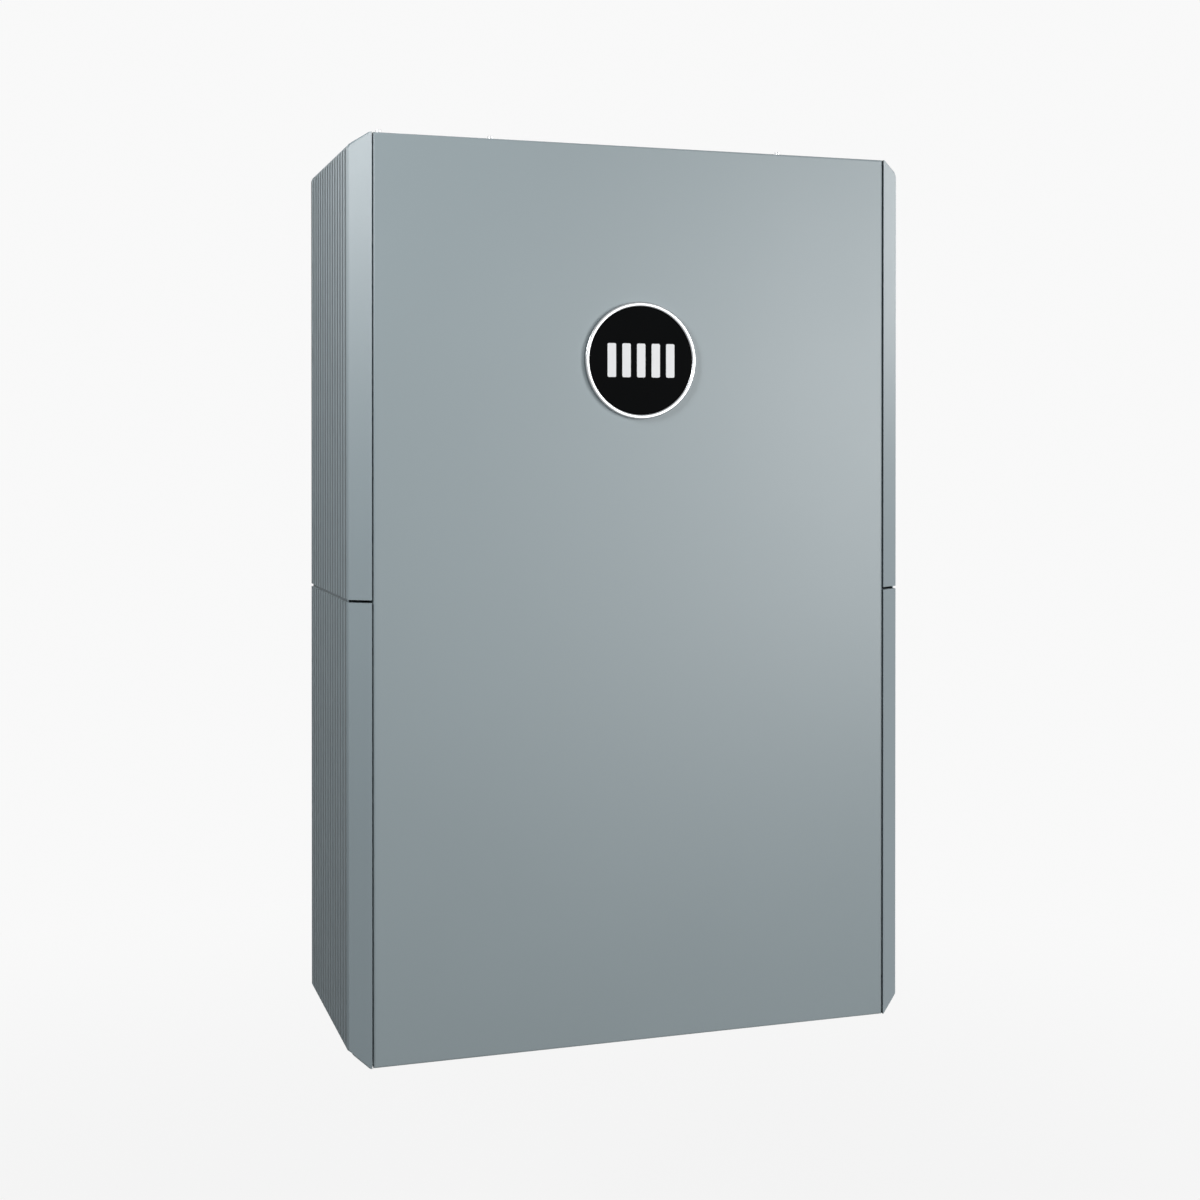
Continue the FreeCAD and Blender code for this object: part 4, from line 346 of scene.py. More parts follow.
def dull_ribs_paint_shade(material):
    """Duller ribs, painted darker as shade, than slanted edges and groove sides; the ribs face along
    X.
    """
    tree = material.node_tree
    shader = tree.nodes["Principled BSDF"]
    smoother = shader.inputs["Roughness"].links[0].from_socket
    paint = shader.inputs["Base Color"].links[0].from_socket
    facing = tree.nodes.new("ShaderNodeSeparateXYZ")
    tree.links.new(tree.nodes["Texture Coordinate"].outputs["Normal"], facing.inputs["Vector"])
    sideways = tree.nodes.new("ShaderNodeMath")
    sideways.operation = "ABSOLUTE"
    tree.links.new(facing.outputs["X"], sideways.inputs[0])
    extra = tree.nodes.new("ShaderNodeMapRange")
    extra.inputs["From Min"].default_value = RIB_FACING[0]
    extra.inputs["From Max"].default_value = RIB_FACING[1]
    extra.inputs["To Max"].default_value = RIB_DULL
    tree.links.new(sideways.outputs["Value"], extra.inputs["Value"])
    rough = tree.nodes.new("ShaderNodeMath")
    rough.operation = "ADD"
    tree.links.new(smoother, rough.inputs[0])
    tree.links.new(extra.outputs["Result"], rough.inputs[1])
    tree.links.new(rough.outputs["Value"], shader.inputs["Roughness"])
    # painted shade: the paint is scaled darker where a face points along X
    share = tree.nodes.new("ShaderNodeMapRange")
    share.inputs["From Max"].default_value = RIB_DULL
    share.inputs["To Min"].default_value = 1.0
    share.inputs["To Max"].default_value = RIB_PAINTED_SHADE
    tree.links.new(extra.outputs["Result"], share.inputs["Value"])
    darker = tree.nodes.new("ShaderNodeVectorMath")
    darker.operation = "SCALE"
    tree.links.new(paint, darker.inputs[0])
    tree.links.new(share.outputs["Result"], darker.inputs["Scale"])
    tree.links.new(darker.outputs["Vector"], shader.inputs["Base Color"])


dull_ribs_paint_shade(FINISHES["cover_paint"])
print("ribs have", RIB_PAINTED_SHADE, "of the cover's brightness")

# %% [markdown]
# ### Metals
# Brushed and rolled metal is scratched one way only. The same noise does it once its
# coordinates are squeezed across the grain and left alone along it, so each grain becomes a
# long hair. Zinc plating has no direction but clouds over in patches, so its patches are
# strong and its grain is plain.

# %% Metals
ALONG_X = (1 / 30, 1, 1)
ALONG_Z = (1, 1, 1 / 30)

FINISHES["zinc"] = finish("zinc", (0.56, 0.57, 0.58), 0.38, 1.0, uneven=0.14, patch=0.012,
                          grain=0.0010, depth=0.00001, dull=0.16)
FINISHES["polished"] = finish("polished", (0.40, 0.41, 0.42), 0.24, 1.0, uneven=0.03, patch=0.02,
                              grain=0.0006, depth=0.000002, dull=0.06)
FINISHES["raw_aluminium"] = finish("raw_aluminium", (0.70, 0.71, 0.72), 0.38, 1.0, uneven=0.06,
                                   patch=0.05, grain=0.0008, depth=0.000004, dull=0.14,
                                   stretch=ALONG_X)
FINISHES["button_steel"] = finish("button_steel", (0.60, 0.61, 0.62), 0.30, 1.0, uneven=0.04,
                                  patch=0.01, grain=0.0004, depth=0.000003, dull=0.12,
                                  stretch=ALONG_Z)
FINISHES["copper"] = finish("copper", (0.78, 0.38, 0.22), 0.32, 1.0, uneven=0.12, patch=0.02,
                            grain=0.0008, depth=0.000005, dull=0.16, stretch=ALONG_Z)
FINISHES["brass"] = finish("brass", (0.72, 0.53, 0.22), 0.30, 1.0, uneven=0.08, patch=0.01,
                           grain=0.0005, depth=0.000004, dull=0.12)
print("metals added,", len(FINISHES), "finishes")

# %% [markdown]
# ### The badge and the lights
# The badge is a disc of black acrylic behind a coating that keeps reflections down, so it
# stays black under the lamps. Its specular level does that, and it is a plain number on the
# shader. The gauge bars are lit from behind, so they glow a little, and so do the lamps.

# %% Badge black, light bars, lamps, window
FINISHES["black_gloss"] = finish("black_gloss", (0.0018, 0.0022, 0.0025), 0.12, uneven=0.10,
                                 patch=0.03, grain=0.0020, depth=0.000001, dull=0.04)
black_shader = FINISHES["black_gloss"].node_tree.nodes["Principled BSDF"]
black_shader.inputs["Specular IOR Level"].default_value = 0.01
FINISHES["light_bar"] = finish("light_bar", (0.68, 0.69, 0.70), 0.34, uneven=0.02, patch=0.01,
                               grain=0.0008, depth=0.000004, dull=0.06)
FINISHES["lamp_green"] = finish("lamp_green", (0.12, 0.55, 0.16), 0.18, uneven=0.04, patch=0.002,
                                grain=0.0005, depth=0.000002)
for lit, glow, strength in (("light_bar", (0.95, 0.97, 1.0, 1), 0.10),
                            ("lamp_green", (0.10, 0.80, 0.20, 1), 0.60)):
    lit_shader = FINISHES[lit].node_tree.nodes["Principled BSDF"]
    lit_shader.inputs["Emission Color"].default_value = glow
    lit_shader.inputs["Emission Strength"].default_value = strength

FINISHES["clear_window"] = finish("clear_window", (0.16, 0.22, 0.20), 0.08, uneven=0.04,
                                  patch=0.02, grain=0.0010, depth=0.000001, dull=0.04)
print("badge and lights added,", len(FINISHES), "finishes")

# %% [markdown]
# ### The boards
# A circuit board is green varnish over copper tracks, which show through as lighter lines. It
# could be drawn track by track, but it is small and mostly hidden. A brick pattern with thin
# joints is enough: the joints are the tracks.

# %% Circuit boards
TRACKS_PER_METRE = 60
TRACK_WIDTH = 0.018         # as a share of the pattern


def circuit_board():
    """Green varnish over a pattern of tracks."""
    material = finish("board_green", (0.018, 0.10, 0.040), 0.36, uneven=0.10, patch=0.02)
    tree = material.node_tree
    shader = tree.nodes["Principled BSDF"]
    place = tree.nodes["Texture Coordinate"].outputs["Object"]
    upright = tree.nodes.new("ShaderNodeMapping")
    upright.inputs["Rotation"].default_value = (math.radians(90), 0, 0)
    tree.links.new(place, upright.inputs["Vector"])
    tracks = tree.nodes.new("ShaderNodeTexBrick")
    tracks.inputs["Color1"].default_value = (0.018, 0.10, 0.040, 1)
    tracks.inputs["Color2"].default_value = (0.014, 0.085, 0.034, 1)
    tracks.inputs["Mortar"].default_value = (0.05, 0.21, 0.09, 1)
    tracks.inputs["Scale"].default_value = TRACKS_PER_METRE
    tracks.inputs["Mortar Size"].default_value = TRACK_WIDTH
    tree.links.new(upright.outputs["Vector"], tracks.inputs["Vector"])
    tree.links.new(tracks.outputs["Color"], shader.inputs["Base Color"])
    return material


FINISHES["board_green"] = circuit_board()
print("all", len(FINISHES), "finishes are made")

# %% [markdown]
# ## The front panel
# On the real unit this is one sheet of steel, two millimetres thick, with all four edges
# folded back by 34 mm. It could be one plain box, but the folds and the open back would be
# missing. So a box loses its back face, its front edges are rounded as a press brake rounds
# them, and Solidify gives the sheet its thickness inwards, which leaves the outer size alone.

# %% Front panel
SHEET = 0.002
FOLD_ROUND = 0.0025


def folded_panel():
    """Sheet steel panel with four folded edges."""
    panel = block("front_sheet", PANEL_LOW, PANEL_HIGH)
    edit(panel)
    choose(panel, "FACE", lambda face: face.normal.y > 0.9)
    bpy.ops.mesh.delete(type="FACE")
    choose(panel, "EDGE", lambda edge: all(near(v.co.y, PANEL_LOW.y) for v in edge.verts))
    bpy.ops.mesh.bevel(offset=FOLD_ROUND, segments=6, affect="EDGES")
    choose(panel, "EDGE", lambda edge: near(abs(middle(edge).x), PANEL_HIGH.x)
           and abs((edge.verts[0].co - edge.verts[1].co).y) > 0.02)
    bpy.ops.mesh.bevel(offset=SHEET / 2, segments=3, affect="EDGES")
    apply_modifier(panel, "SOLIDIFY", thickness=SHEET, offset=-1, use_even_offset=True)
    smooth(panel)
    return panel


dress(folded_panel(), "unit", "panel_paint", "front_panel")

# %% [markdown]
# ## The panel's screws
# Three small socket screws stand on the panel's top edge: two hold the panel and the third,
# at the left end, bonds it to earth. A screw is a turned part, so it starts as a cylinder
# for the head, and its underside is inset and drawn down as the shank. The socket is six
# sided and the head is round, so the head's top is opened, a hexagon is set into the hole,
# the two outlines are bridged, and the hexagon is drawn down and closed.

# %% Panel screws
HEAD_R = 0.00275
HEAD_TALL = 0.003
SHANK_R = 0.0015
SHANK_LONG = 0.009
SOCKET_R = 0.0015
SOCKET_DEEP = 0.0015
HEAD_EDGE = 0.0004          # rounding of the head's top
SCREW_BACK = 0.007          # screws behind the front face
SCREW_ROW = (-0.264, -0.153, 0.153)


def screw_blank(x, y, z):
    """Round head with its shank, standing on the panel's edge."""
    deselect_all()
    bpy.ops.mesh.primitive_cylinder_add(vertices=36, radius=HEAD_R, depth=HEAD_TALL,
                                        location=(x, y, z + HEAD_TALL / 2))
    bpy.ops.object.transform_apply(location=True, rotation=True, scale=True)
    screw = bpy.context.object
    edit(screw)
    choose(screw, "EDGE", lambda edge: all(near(v.co.z, z + HEAD_TALL) for v in edge.verts))
    bpy.ops.mesh.bevel(offset=HEAD_EDGE, segments=3, affect="EDGES")
    choose(screw, "FACE", lambda face: face.normal.z < -0.9)
    bpy.ops.mesh.inset(thickness=HEAD_R - SHANK_R)
    bpy.ops.mesh.extrude_region_move(TRANSFORM_OT_translate={"value": (0, 0, -SHANK_LONG)})
    return screw


def cut_socket(screw, x, y, top):
    """Sink a six-sided socket into the open screw's head."""
    choose(screw, "FACE", lambda face: near(middle(face).z, top) and face.normal.z > 0.9)
    bpy.ops.mesh.delete(type="FACE")
    bpy.ops.mesh.primitive_circle_add(vertices=6, radius=SOCKET_R, location=(x, y, top))
    choose(screw, "EDGE", lambda edge: len(edge.link_faces) < 2)
    bpy.ops.mesh.bridge_edge_loops()
    choose(screw, "EDGE", lambda edge: len(edge.link_faces) < 2)
    bpy.ops.mesh.extrude_edges_move(TRANSFORM_OT_translate={"value": (0, 0, -SOCKET_DEEP)})
    bpy.ops.mesh.edge_face_add()


def panel_screws():
    """The first screw and its two copies, joined into one piece."""
    y = PANEL_LOW.y + SCREW_BACK
    first = named(screw_blank(SCREW_ROW[0], y, PANEL_HIGH.z), "panel_screws_turned")
    cut_socket(first, SCREW_ROW[0], y, PANEL_HIGH.z + HEAD_TALL)
    bpy.ops.object.mode_set(mode="OBJECT")
    clean(first)
    copies = []
    for x in SCREW_ROW[1:]:
        make_active(first)
        bpy.ops.object.duplicate()
        screw = bpy.context.object
        edit(screw)
        bpy.ops.transform.translate(value=(x - SCREW_ROW[0], 0, 0))
        bpy.ops.object.mode_set(mode="OBJECT")
        copies.append(screw)
    make_active(first)
    for screw in copies:
        screw.select_set(True)
    bpy.ops.object.join()
    smooth(first)
    return first


dress(panel_screws(), "unit", "zinc", "panel_screws")

# %% [markdown]
# ## The side covers
# Each side is closed by two moulded trays that meet at a seam. The outer wall is ribbed from
# top to bottom, the front edge is a plain slanted face beside the front panel, and the rim at
# the top or bottom slants in too. The tray is open towards the tub. Four covers are wanted,
# and a left one is a mirror image of a right one, so two shells are modelled and copied.
#
# A cover starts as a box. Two bisect cuts slice off its front and rim corners and fill the
# cuts. One bevel rounds the long ridge of the rim, broadly at the top and barely at the
# bottom, and a second rounds the whole border between the slanted front and the side. One
# extrusion then draws the rear part in behind the front panel's folded edge.

# %% Cover blank with slanted front and rim
PANEL_GAP = 0.0012          # front panel to the cover's lip
FRONT_SLANT = 0.013         # how far back the slanted front face runs
STEP_BACK = 0.0352          # the lip's depth, to where the cover passes behind the panel
FRONT_RIDGE = 0.0022        # rounding where the slanted front meets the side
RIM_FLAT = 0.0025           # level strip beside the panel, before the rim slants
RIMS = {"upper": (0.0115, 0.0046), "lower": (0.0155, 0.0018)}   # each rim's slant and rounding
COVER_LIP = PANEL_HIGH.x + PANEL_GAP
print("covers start", round(COVER_LIP, 4), "m from the middle")


def slice_off(point, normal):
    """Cut the selected mesh by a plane, drop what lies outside it and close the cut."""
    bpy.ops.mesh.bisect(plane_co=point, plane_no=Vector(normal).normalized(), use_fill=True,
                        clear_outer=True, threshold=0.000001)


def is_slanted_front(face):
    """True on the plain slanted face beside the front panel."""
    return face.normal.x > 0.3 and face.normal.y < -0.6


def cover_blank(name, low, high, rim, rim_z, out_z):
    """Box with its front and rim corners sliced off and the ridges rounded."""
    slant, rounding = rim
    shell = block(name, (COVER_LIP, low.y, low.z), high)
    across = high.x - COVER_LIP
    edit(shell)
    slice_off((COVER_LIP, low.y, 0), (FRONT_SLANT, -across, 0))
    bpy.ops.mesh.select_all(action="SELECT")
    slice_off((COVER_LIP + RIM_FLAT, 0, rim_z), (slant, 0, out_z * (across - RIM_FLAT)))
    bpy.ops.mesh.select_all(action="SELECT")
    bpy.ops.mesh.remove_doubles(threshold=0.00005)
    choose(shell, "EDGE", lambda edge: all(near(v.co.x, high.x) for v in edge.verts)
           and near(middle(edge).z, rim_z - out_z * slant, 0.0005))
    bpy.ops.mesh.bevel(offset=rounding, segments=8, affect="EDGES")
    choose(shell, "EDGE", lambda edge: len(edge.link_faces) == 2
           and sum(is_slanted_front(face) for face in edge.link_faces) == 1
           and all(face.normal.x > 0.3 for face in edge.link_faces))
    bpy.ops.mesh.bevel(offset=FRONT_RIDGE, segments=4, affect="EDGES")
    bpy.ops.mesh.select_mode(type="FACE")
    bpy.ops.mesh.select_all(action="SELECT")
    bpy.ops.mesh.bisect(plane_co=(0, low.y + STEP_BACK, 0), plane_no=(0, 1, 0))
    choose(shell, "FACE", lambda face: face.normal.x < -0.9
           and middle(face).y > low.y + STEP_BACK)
    bpy.ops.mesh.extrude_region_move(TRANSFORM_OT_translate={"value": (low.x - COVER_LIP, 0, 0)})
    bpy.ops.mesh.delete(type="FACE")
    return shell


# %% [markdown]
# The ribs are cut last, while the seam end is still open, so that the corners there point
# straight out of the wall and the grooves keep their depth to the very end. Four bisect
# lines mark each groove, and the strip between the inner two is pushed in along its own
# normals. Over the rounded ridge and the slanted rim those normals turn, so the groove
# follows the wall over the rim, as a moulded rib does.

# %% Grooves
GROOVES = 15
GROOVE_PITCH = 0.0152
GROOVE_FIRST = 0.0145
GROOVE_WIDTH = 0.007
GROOVE_DEPTH = 0.0020
GROOVE_SIDE = 0.0014        # width of a groove's slanted sides
print(GROOVES, "grooves run over", round((GROOVES - 1) * GROOVE_PITCH + GROOVE_WIDTH, 4), "m")


def is_outer(face):
    """True on the ribbed wall, its rounded ridge and its slanted rim."""
    return face.normal.x > 0.3 and face.normal.y > -0.55


def cut_grooves(shell, low, high):
    """Push fifteen shallow grooves into the outer wall."""
    for k in range(GROOVES):
        centre = low.y + GROOVE_FIRST + k * GROOVE_PITCH
        half = GROOVE_WIDTH / 2
        for y in (centre - half, centre - half + GROOVE_SIDE, centre + half - GROOVE_SIDE,
                  centre + half):
            if y < high.y - 0.0005:
                choose(shell, "FACE", is_outer)
                bpy.ops.mesh.bisect(plane_co=(0, y, 0), plane_no=(0, 1, 0))
        choose(shell, "FACE", lambda face: is_outer(face)
               and abs(middle(face).y - centre) < half - GROOVE_SIDE)
        bpy.ops.transform.shrink_fatten(value=-GROOVE_DEPTH)


# %% [markdown]
# Now the seam end is closed with one face, and the cables' way through it is cut out. The
# lower cover has the same way cut in its bottom, where the cables come in. Three bisect
# lines round each notch are enough, because its fourth side is open to the tub.

# %% Seam end and cable notches
NOTCH_FRONT = 0.070         # cable notch behind the front face
NOTCH_LENGTH = 0.070
SEAM_NOTCH_SHORT = 0.003    # seam notch's outer end short of the cover's outside
BOTTOM_NOTCH_OUT = 0.287    # bottom notch's outer end from the unit's middle


def close_end(shell, seam_z):
    """Fill the open seam end of a shell with one face."""
    choose(shell, "EDGE", lambda edge: edge.is_boundary
           and all(near(v.co.z, seam_z) for v in edge.verts))
    bpy.ops.mesh.edge_face_add()


def cut_notch(shell, low, outer_x, belongs):
    """Cut the cables' way out of the end faces that pass a test."""
    start = low.y + NOTCH_FRONT
    stop = start + NOTCH_LENGTH
    for point, normal in (((0, start, 0), (0, 1, 0)), ((0, stop, 0), (0, 1, 0)),
                          ((outer_x, 0, 0), (1, 0, 0))):
        choose(shell, "FACE", belongs)
        bpy.ops.mesh.bisect(plane_co=point, plane_no=normal)
    choose(shell, "FACE", lambda face: belongs(face) and start < middle(face).y < stop
           and middle(face).x < outer_x)
    bpy.ops.mesh.delete(type="FACE")


print("cable notches are", NOTCH_LENGTH, "m long")

# %% [markdown]
# Four round studs stand inside each cover and press into the clips on the tub. They are short
# cylinders from the outer wall to just short of the tub, joined to the cover. A thin tongue on
# the lower cover's end stands across the seam just behind the ribs, so that no light shows
# through. The lower covers' solids include it, so it is taken off their boxes first.

# %% Studs and tongue
COVER_WALL = 0.0024
STUD = 0.004
STUD_TIP = 0.0025           # stud's end short of the tub
STUD_FROM_FRONT = 0.057
STUD_FROM_BACK = 0.026
STUD_FROM_RIM = 0.020
STUD_FROM_SEAM = 0.02465
TONGUE = 0.0024             # height of the strip on the lower cover that closes the seam
TONGUE_BACK = 0.0012        # strip behind the ribs' faces
TONGUE_SHORT = 0.005        # strip's ends short of the slanted front and of the back edge


def cover_box(node):
    """Box of a cover's solid without the tongue that the lower ones have on top."""
    low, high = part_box(node)
    if node.startswith("lower"):
        high = high - Vector((0, 0, TONGUE))
    return low, high


def add_tongue(cover, node, side):
    """Stand a thin strip on the lower cover's end that closes the seam behind the ribs."""
    low, high = cover_box(node)
    edge = high.x if side > 0 else low.x
    inner, outer = sorted((edge - side * COVER_WALL, edge - side * TONGUE_BACK))
    strip = block("seam_tongue",
                  (inner, low.y + FRONT_SLANT + TONGUE_SHORT, high.z - COVER_WALL),
                  (outer, high.y - TONGUE_SHORT, high.z + TONGUE))
    make_active(cover)
    strip.select_set(True)
    bpy.ops.object.join()


def add_studs(cover, node, side, upper):
    """Stand the round clip studs inside a finished cover."""
    low, high = cover_box(node)
    outer = (high.x if side > 0 else low.x) - side * COVER_WALL
    tip = side * (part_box("tub")[1].x + STUD_TIP)
    from_low = STUD_FROM_SEAM if upper else STUD_FROM_RIM
    from_high = STUD_FROM_RIM if upper else STUD_FROM_SEAM
    studs = []
    for y in (low.y + STUD_FROM_FRONT, high.y - STUD_FROM_BACK):
        for z in (low.z + from_low, high.z - from_high):
            deselect_all()
            bpy.ops.mesh.primitive_cylinder_add(vertices=24, radius=STUD, depth=abs(outer - tip),
                                                location=((outer + tip) / 2, y, z),
                                                rotation=(0, math.radians(90), 0))
            bpy.ops.object.transform_apply(location=True, rotation=True, scale=True)
            studs.append(bpy.context.object)
    make_active(cover)
    for stud in studs:
        stud.select_set(True)
    bpy.ops.object.join()


print("four studs a cover,", 2 * STUD, "m thick")

# %% [markdown]
# With all the steps at hand, the two right covers are modelled and mirrored. A mirrored mesh is
# inside out, so its normals are turned before Solidify gives the wall its thickness inwards:
# the outer size then stays that of the solid.

# %% Model the right covers and mirror them
def right_cover(node, rim, upper):
    """Open shell of a right-hand cover, before it gets its thickness."""
    low, high = cover_box(node)
    rim_z, seam_z, out_z = (high.z, low.z, 1) if upper else (low.z, high.z, -1)
    shell = cover_blank(node + "_shell", low, high, rim, rim_z, out_z)
    choose(shell, "FACE", lambda face: face.normal.z * out_z < -0.9)
    bpy.ops.mesh.delete(type="FACE")
    cut_grooves(shell, low, high)
    close_end(shell, seam_z)
    cut_notch(shell, low, high.x - SEAM_NOTCH_SHORT,
              lambda face: face.normal.z * out_z < -0.9 or near(middle(face).z, seam_z))
    if not upper:
        cut_notch(shell, low, BOTTOM_NOTCH_OUT, lambda face: face.normal.z < -0.3
                  and middle(face).z < low.z + rim[0])
    bpy.ops.object.mode_set(mode="OBJECT")
    clean(shell)
    print(node, "shell has", len(shell.data.polygons), "faces")
    return shell


def left_twin(shell, name):
    """Mirror image of a shell on the other side of the unit."""
    make_active(shell)
    bpy.ops.object.duplicate()
    twin = named(bpy.context.object, name)
    edit(twin)
    bpy.ops.transform.resize(value=(-1, 1, 1), center_override=(0, 0, 0))
    bpy.ops.object.mode_set(mode="OBJECT")
    clean(twin)
    return twin


def finish_cover(shell, node, side, upper):
    """Give a shell its wall and its studs."""
    apply_modifier(shell, "SOLIDIFY", thickness=COVER_WALL, offset=-1, use_even_offset=True)
    add_studs(shell, node, side, upper)
    if not upper:
        add_tongue(shell, node, side)
    smooth(shell)
    dress(shell, node, "cover_paint", node)


for half, rim in RIMS.items():
    right = right_cover(half + "_cover_right", rim, half == "upper")
    left = left_twin(right, half + "_cover_left_shell")
    finish_cover(right, half + "_cover_right", 1, half == "upper")
    finish_cover(left, half + "_cover_left", -1, half == "upper")

# %% [markdown]
# ## The badge
# A bright turned ring holds a black disc, and five light bars in the disc show how full the
# battery is. A ring is the simplest thing to spin: its cross-section is drawn once as a small
# rectangle with its two front corners rounded, and swept round the badge's axis. A flat band
# stays between them, as on a turned ring, and the rounded edges catch the light unevenly.

# %% Badge ring
RING_LOW, RING_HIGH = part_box("badge_ring")
DISC_LOW, DISC_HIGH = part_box("badge_disc")
BADGE = (RING_LOW + RING_HIGH) / 2
RING_OUT = (RING_HIGH.x - RING_LOW.x) / 2
RING_EDGE = 0.0014          # rounding of the ring's front corners
DISC_OUT = (DISC_HIGH.x - DISC_LOW.x) / 2
DISC_GAP = 0.0002           # disc to ring


def badge_ring():
    """Spin a rounded section round the badge's axis."""
    inner = DISC_OUT + DISC_GAP
    section = Vector(((inner + RING_OUT) / 2, BADGE.y, BADGE.z))
    deselect_all()
    bpy.ops.mesh.primitive_plane_add(size=1, location=section)
    ring = named(bpy.context.object, "badge_ring_turned")
    bpy.ops.transform.resize(value=(RING_OUT - inner, RING_HIGH.y - RING_LOW.y, 1),
                             center_override=section)
    bpy.ops.object.transform_apply(location=True, rotation=True, scale=True)
    edit(ring)
    choose(ring, "EDGE", lambda edge: near(middle(edge).y, RING_LOW.y))
    bpy.ops.mesh.bevel(offset=RING_EDGE, segments=3, affect="VERTICES")
    bpy.ops.mesh.select_all(action="SELECT")
    bpy.ops.mesh.spin(steps=128, angle=math.radians(360), center=(0, BADGE.y, BADGE.z),
                      axis=(0, 1, 0))
    bpy.ops.object.mode_set(mode="OBJECT")
    clean(ring)
    smooth(ring, 40)
    return ring


dress(badge_ring(), "unit", "polished", "badge_ring")


# %% [markdown]
# The disc lies a little below the ring's front. A cylinder with a softened rim is all that it
# is, and the softened rim is what shows a thin line of light beside the ring.

# %% Badge disc
DISC_EDGE = 0.0008          # rounding of the disc's rim


def badge_disc():
    """Black disc with a softened rim."""
    deselect_all()
    depth = DISC_HIGH.y - DISC_LOW.y
    bpy.ops.mesh.primitive_cylinder_add(vertices=128, radius=DISC_OUT, depth=depth,
                                        location=(0, (DISC_LOW.y + DISC_HIGH.y) / 2, BADGE.z),
                                        rotation=(math.radians(90), 0, 0))
    bpy.ops.object.transform_apply(location=True, rotation=True, scale=True)
    disc = named(bpy.context.object, "badge_disc_polished")
    edit(disc)
    choose(disc, "EDGE", lambda edge: all(near(v.co.y, DISC_LOW.y) for v in edge.verts))
    bpy.ops.mesh.bevel(offset=DISC_EDGE, segments=3, affect="EDGES")
    bpy.ops.object.mode_set(mode="OBJECT")
    smooth(disc, 40)
    return disc


dress(badge_disc(), "unit", "black_gloss", "badge_disc")

# %% [markdown]
# The gauge bars are small rounded tiles. One is modelled at the left end of the row and
# copied to the others' places, each copy with its own mesh, and then they are joined into
# one piece, because they belong together as one gauge.

# %% Gauge bars
GAUGE_LOW, GAUGE_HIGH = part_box("charge_gauge")
GAUGE_BARS = 5
BAR_WIDE = 0.009
BAR_PROUD = 0.0003
BAR_ROUND = 0.0016          # rounding of a bar's four corners
BAR_EDGE = 0.0002           # and of its front edge


def charge_gauge():
    """Row of five light bars with rounded corners."""
    pitch = (GAUGE_HIGH.x - GAUGE_LOW.x - BAR_WIDE) / (GAUGE_BARS - 1)
    first = block("charge_gauge_lit", GAUGE_LOW - Vector((0, BAR_PROUD, 0)),
                  (GAUGE_LOW.x + BAR_WIDE, GAUGE_HIGH.y, GAUGE_HIGH.z))
    edit(first)
    choose(first, "EDGE", lambda edge: abs((edge.verts[0].co - edge.verts[1].co).y) > 0.0005)
    bpy.ops.mesh.bevel(offset=BAR_ROUND, segments=5, affect="EDGES")
    choose(first, "EDGE",
           lambda edge: all(near(v.co.y, GAUGE_LOW.y - BAR_PROUD) for v in edge.verts))
    bpy.ops.mesh.bevel(offset=BAR_EDGE, segments=2, affect="EDGES")
    bpy.ops.object.mode_set(mode="OBJECT")
    bars = [first]
    for k in range(1, GAUGE_BARS):
        make_active(first)
        bpy.ops.object.duplicate()
        bar = bpy.context.object
        edit(bar)
        bpy.ops.transform.translate(value=(k * pitch, 0, 0))
        bpy.ops.object.mode_set(mode="OBJECT")
        bars.append(bar)
    make_active(first)
    for bar in bars:
        bar.select_set(True)
    bpy.ops.object.join()
    smooth(first)
    return first


dress(charge_gauge(), "unit", "light_bar", "charge_gauge")

# %% [markdown]
# ## Finishes of the other solids
# Every other node keeps its solid. The record says which finish each one takes, so one loop
# gives them all out.

# %% Give the solids their finishes
for part in frame["record"]["subparts"]:
    solid = frame["nodes"][part["node"]]
    for place in solid.material_slots:
        place.material = FINISHES[part["material_slot"]]

# %% [markdown]
# ## Studio
# The unit hangs over a pale floor in a white room and is lit by large soft boxes. A satin
# panel mirrors its surroundings faintly, so the boxes stand where each face would mirror
# them: high on the right for the front panel, and far out on both sides for the slanted
# edges and the ribs. The floor keeps the unit's shadow close by and fades into the white of
# the room farther out, so that no horizon shows.

# %% Floor
PALE = 0.945
FLOOR_DROP = 0.45           # floor below the unit
SHADOW_SHARE = 0.08         # how much of the floor near the unit shows real light and shadow
FADE_START = 0.5            # from here outwards, in metres, the floor turns into plain white
FADE_END = 2.2
FLOOR_GREY = 0.10           # how much light the floor throws back at the unit


def seen_directly(tree):
    """1 for what the camera, a mirror or a glass shows, 0 for the light that bounces on."""
    path = tree.nodes.new("ShaderNodeLightPath")
    either = tree.nodes.new("ShaderNodeMath")
    either.operation = "MAXIMUM"
    tree.links.new(path.outputs["Is Camera Ray"], either.inputs[0])
    tree.links.new(path.outputs["Is Glossy Ray"], either.inputs[1])
    both = tree.nodes.new("ShaderNodeMath")
    both.operation = "MAXIMUM"
    tree.links.new(either.outputs["Value"], both.inputs[0])
    tree.links.new(path.outputs["Is Transmission Ray"], both.inputs[1])
    return both.outputs["Value"]


def floor_fade(tree):
    """The share of plain white in the floor, rising with the distance from the unit."""
    place = tree.nodes.new("ShaderNodeTexCoord")
    reach = tree.nodes.new("ShaderNodeVectorMath")
    reach.operation = "LENGTH"
    tree.links.new(place.outputs["Object"], reach.inputs[0])
    fade = tree.nodes.new("ShaderNodeMapRange")
    fade.interpolation_type = "SMOOTHSTEP"
    fade.inputs["From Min"].default_value = FADE_START
    fade.inputs["From Max"].default_value = FADE_END
    fade.inputs["To Min"].default_value = 1 - SHADOW_SHARE
    fade.inputs["To Max"].default_value = 1
    tree.links.new(reach.outputs["Value"], fade.inputs["Value"])
    return fade.outputs["Result"]


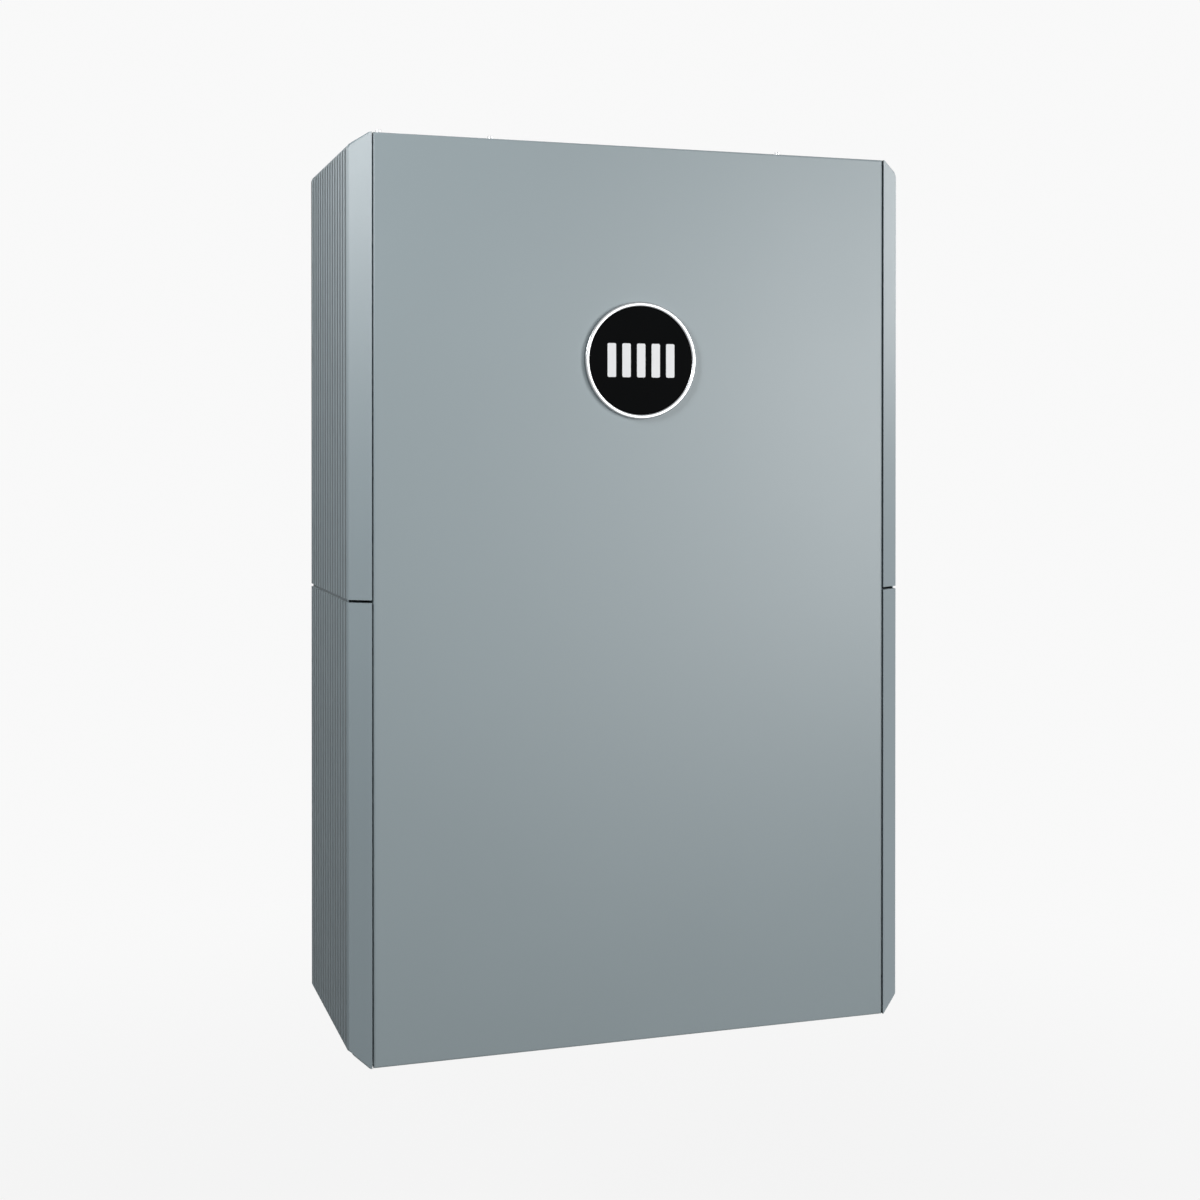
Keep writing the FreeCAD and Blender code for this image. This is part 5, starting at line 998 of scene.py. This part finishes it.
def studio_floor():
    """Pale floor that keeps a soft shadow."""
    deselect_all()
    bpy.ops.mesh.primitive_plane_add(size=40, location=(0, 0, SOLIDS_BOX[0].z - FLOOR_DROP))
    floor = named(bpy.context.object, "studio_floor")
    material = bpy.data.materials.new("studio_floor")
    material.use_nodes = True
    tree = material.node_tree
    tree.nodes.clear()
    direct = seen_directly(tree)
    white = tree.nodes.new("ShaderNodeMapRange")
    white.inputs["To Min"].default_value = FLOOR_GREY
    white.inputs["To Max"].default_value = PALE
    tree.links.new(direct, white.inputs["Value"])
    matt = tree.nodes.new("ShaderNodeBsdfDiffuse")
    tree.links.new(white.outputs["Result"], matt.inputs["Color"])
    glow = tree.nodes.new("ShaderNodeEmission")
    glow.inputs["Color"].default_value = (PALE, PALE, PALE, 1)
    share = tree.nodes.new("ShaderNodeMath")
    share.operation = "MULTIPLY"
    tree.links.new(direct, share.inputs[0])
    tree.links.new(floor_fade(tree), share.inputs[1])
    mix = tree.nodes.new("ShaderNodeMixShader")
    tree.links.new(share.outputs["Value"], mix.inputs["Fac"])
    tree.links.new(matt.outputs["BSDF"], mix.inputs[1])
    tree.links.new(glow.outputs["Emission"], mix.inputs[2])
    out = tree.nodes.new("ShaderNodeOutputMaterial")
    tree.links.new(mix.outputs["Shader"], out.inputs["Surface"])
    floor.data.materials.append(material)


studio_floor()
print("floor lies", FLOOR_DROP, "m below the unit")

# %% [markdown]
# The room is a world that looks white but lights the unit only faintly. Both come from one
# switch in the world's nodes, the same one as in the floor: rays from the camera, and those
# that a glossy or a clear surface sends on, see white, and the rest get a soft dim light.

# %% Room
AMBIENT = 0.03


def studio_world(ambient):
    """White where the camera or a mirror sees it, a plain soft light elsewhere."""
    world = bpy.data.worlds.new("studio_world")
    bpy.context.scene.world = world
    world.use_nodes = True
    tree = world.node_tree
    tree.nodes.clear()
    soft = tree.nodes.new("ShaderNodeBackground")
    soft.inputs["Color"].default_value = (1.0, 1.0, 1.0, 1)
    soft.inputs["Strength"].default_value = ambient
    white = tree.nodes.new("ShaderNodeBackground")
    white.inputs["Color"].default_value = (PALE, PALE, PALE, 1)
    mix = tree.nodes.new("ShaderNodeMixShader")
    tree.links.new(seen_directly(tree), mix.inputs["Fac"])
    tree.links.new(soft.outputs["Background"], mix.inputs[1])
    tree.links.new(white.outputs["Background"], mix.inputs[2])
    out = tree.nodes.new("ShaderNodeOutputWorld")
    tree.links.new(mix.outputs["Shader"], out.inputs["Surface"])


studio_world(AMBIENT)
print("room gives", AMBIENT, "of soft light")

# %% [markdown]
# The soft boxes are area lights. Each is given by where it stands as seen from the unit, and
# not by coordinates, because that is how a lamp is set up in a studio: so far round, so high,
# so far away, and turned to face the unit. The back box is for the views from behind.

# %% Soft boxes
SOFT_BOXES = (
    # name, azimuth and elevation in degrees, distance, width and height in metres, watts
    ("front_box", 20, 0, 3.2, 1.0, 1.8, 18),
    ("bright_box", 34, 7, 3.0, 0.7, 1.5, 36),
    ("left_box", -54, 20, 2.2, 0.35, 0.60, 11),
    ("left_near_box", -54, 32, 1.42, 0.35, 0.35, 5.4),
    ("right_box", 86, 17, 2.2, 0.35, 0.80, 9.5),
    ("top_box", 0, 78, 2.0, 1.6, 0.8, 1.0),
    ("back_box", 180, 35, 3.0, 2.0, 1.5, 22),
)


def soft_box(name, azimuth, elevation, distance, wide, tall, power):
    """Rectangular light aimed at the unit's middle. Azimuth 0 is straight in front, 90 right."""
    aim = (SOLIDS_BOX[0] + SOLIDS_BOX[1]) / 2
    turn = math.radians(azimuth)
    rise = math.radians(elevation)
    way = Vector((math.sin(turn) * math.cos(rise), -math.cos(turn) * math.cos(rise), math.sin(rise)))
    bpy.ops.object.light_add(type="AREA", location=aim + way * distance)
    lamp = bpy.context.object
    lamp.name = name
    lamp.rotation_euler = way.to_track_quat("Z", "Y").to_euler()
    lamp.data.shape = "RECTANGLE"
    lamp.data.size = wide
    lamp.data.size_y = tall
    lamp.data.energy = power
    lamp.visible_camera = False


for box_numbers in SOFT_BOXES:
    soft_box(*box_numbers)
bpy.context.scene.view_settings.view_transform = "Standard"
print(len(SOFT_BOXES), "soft boxes")
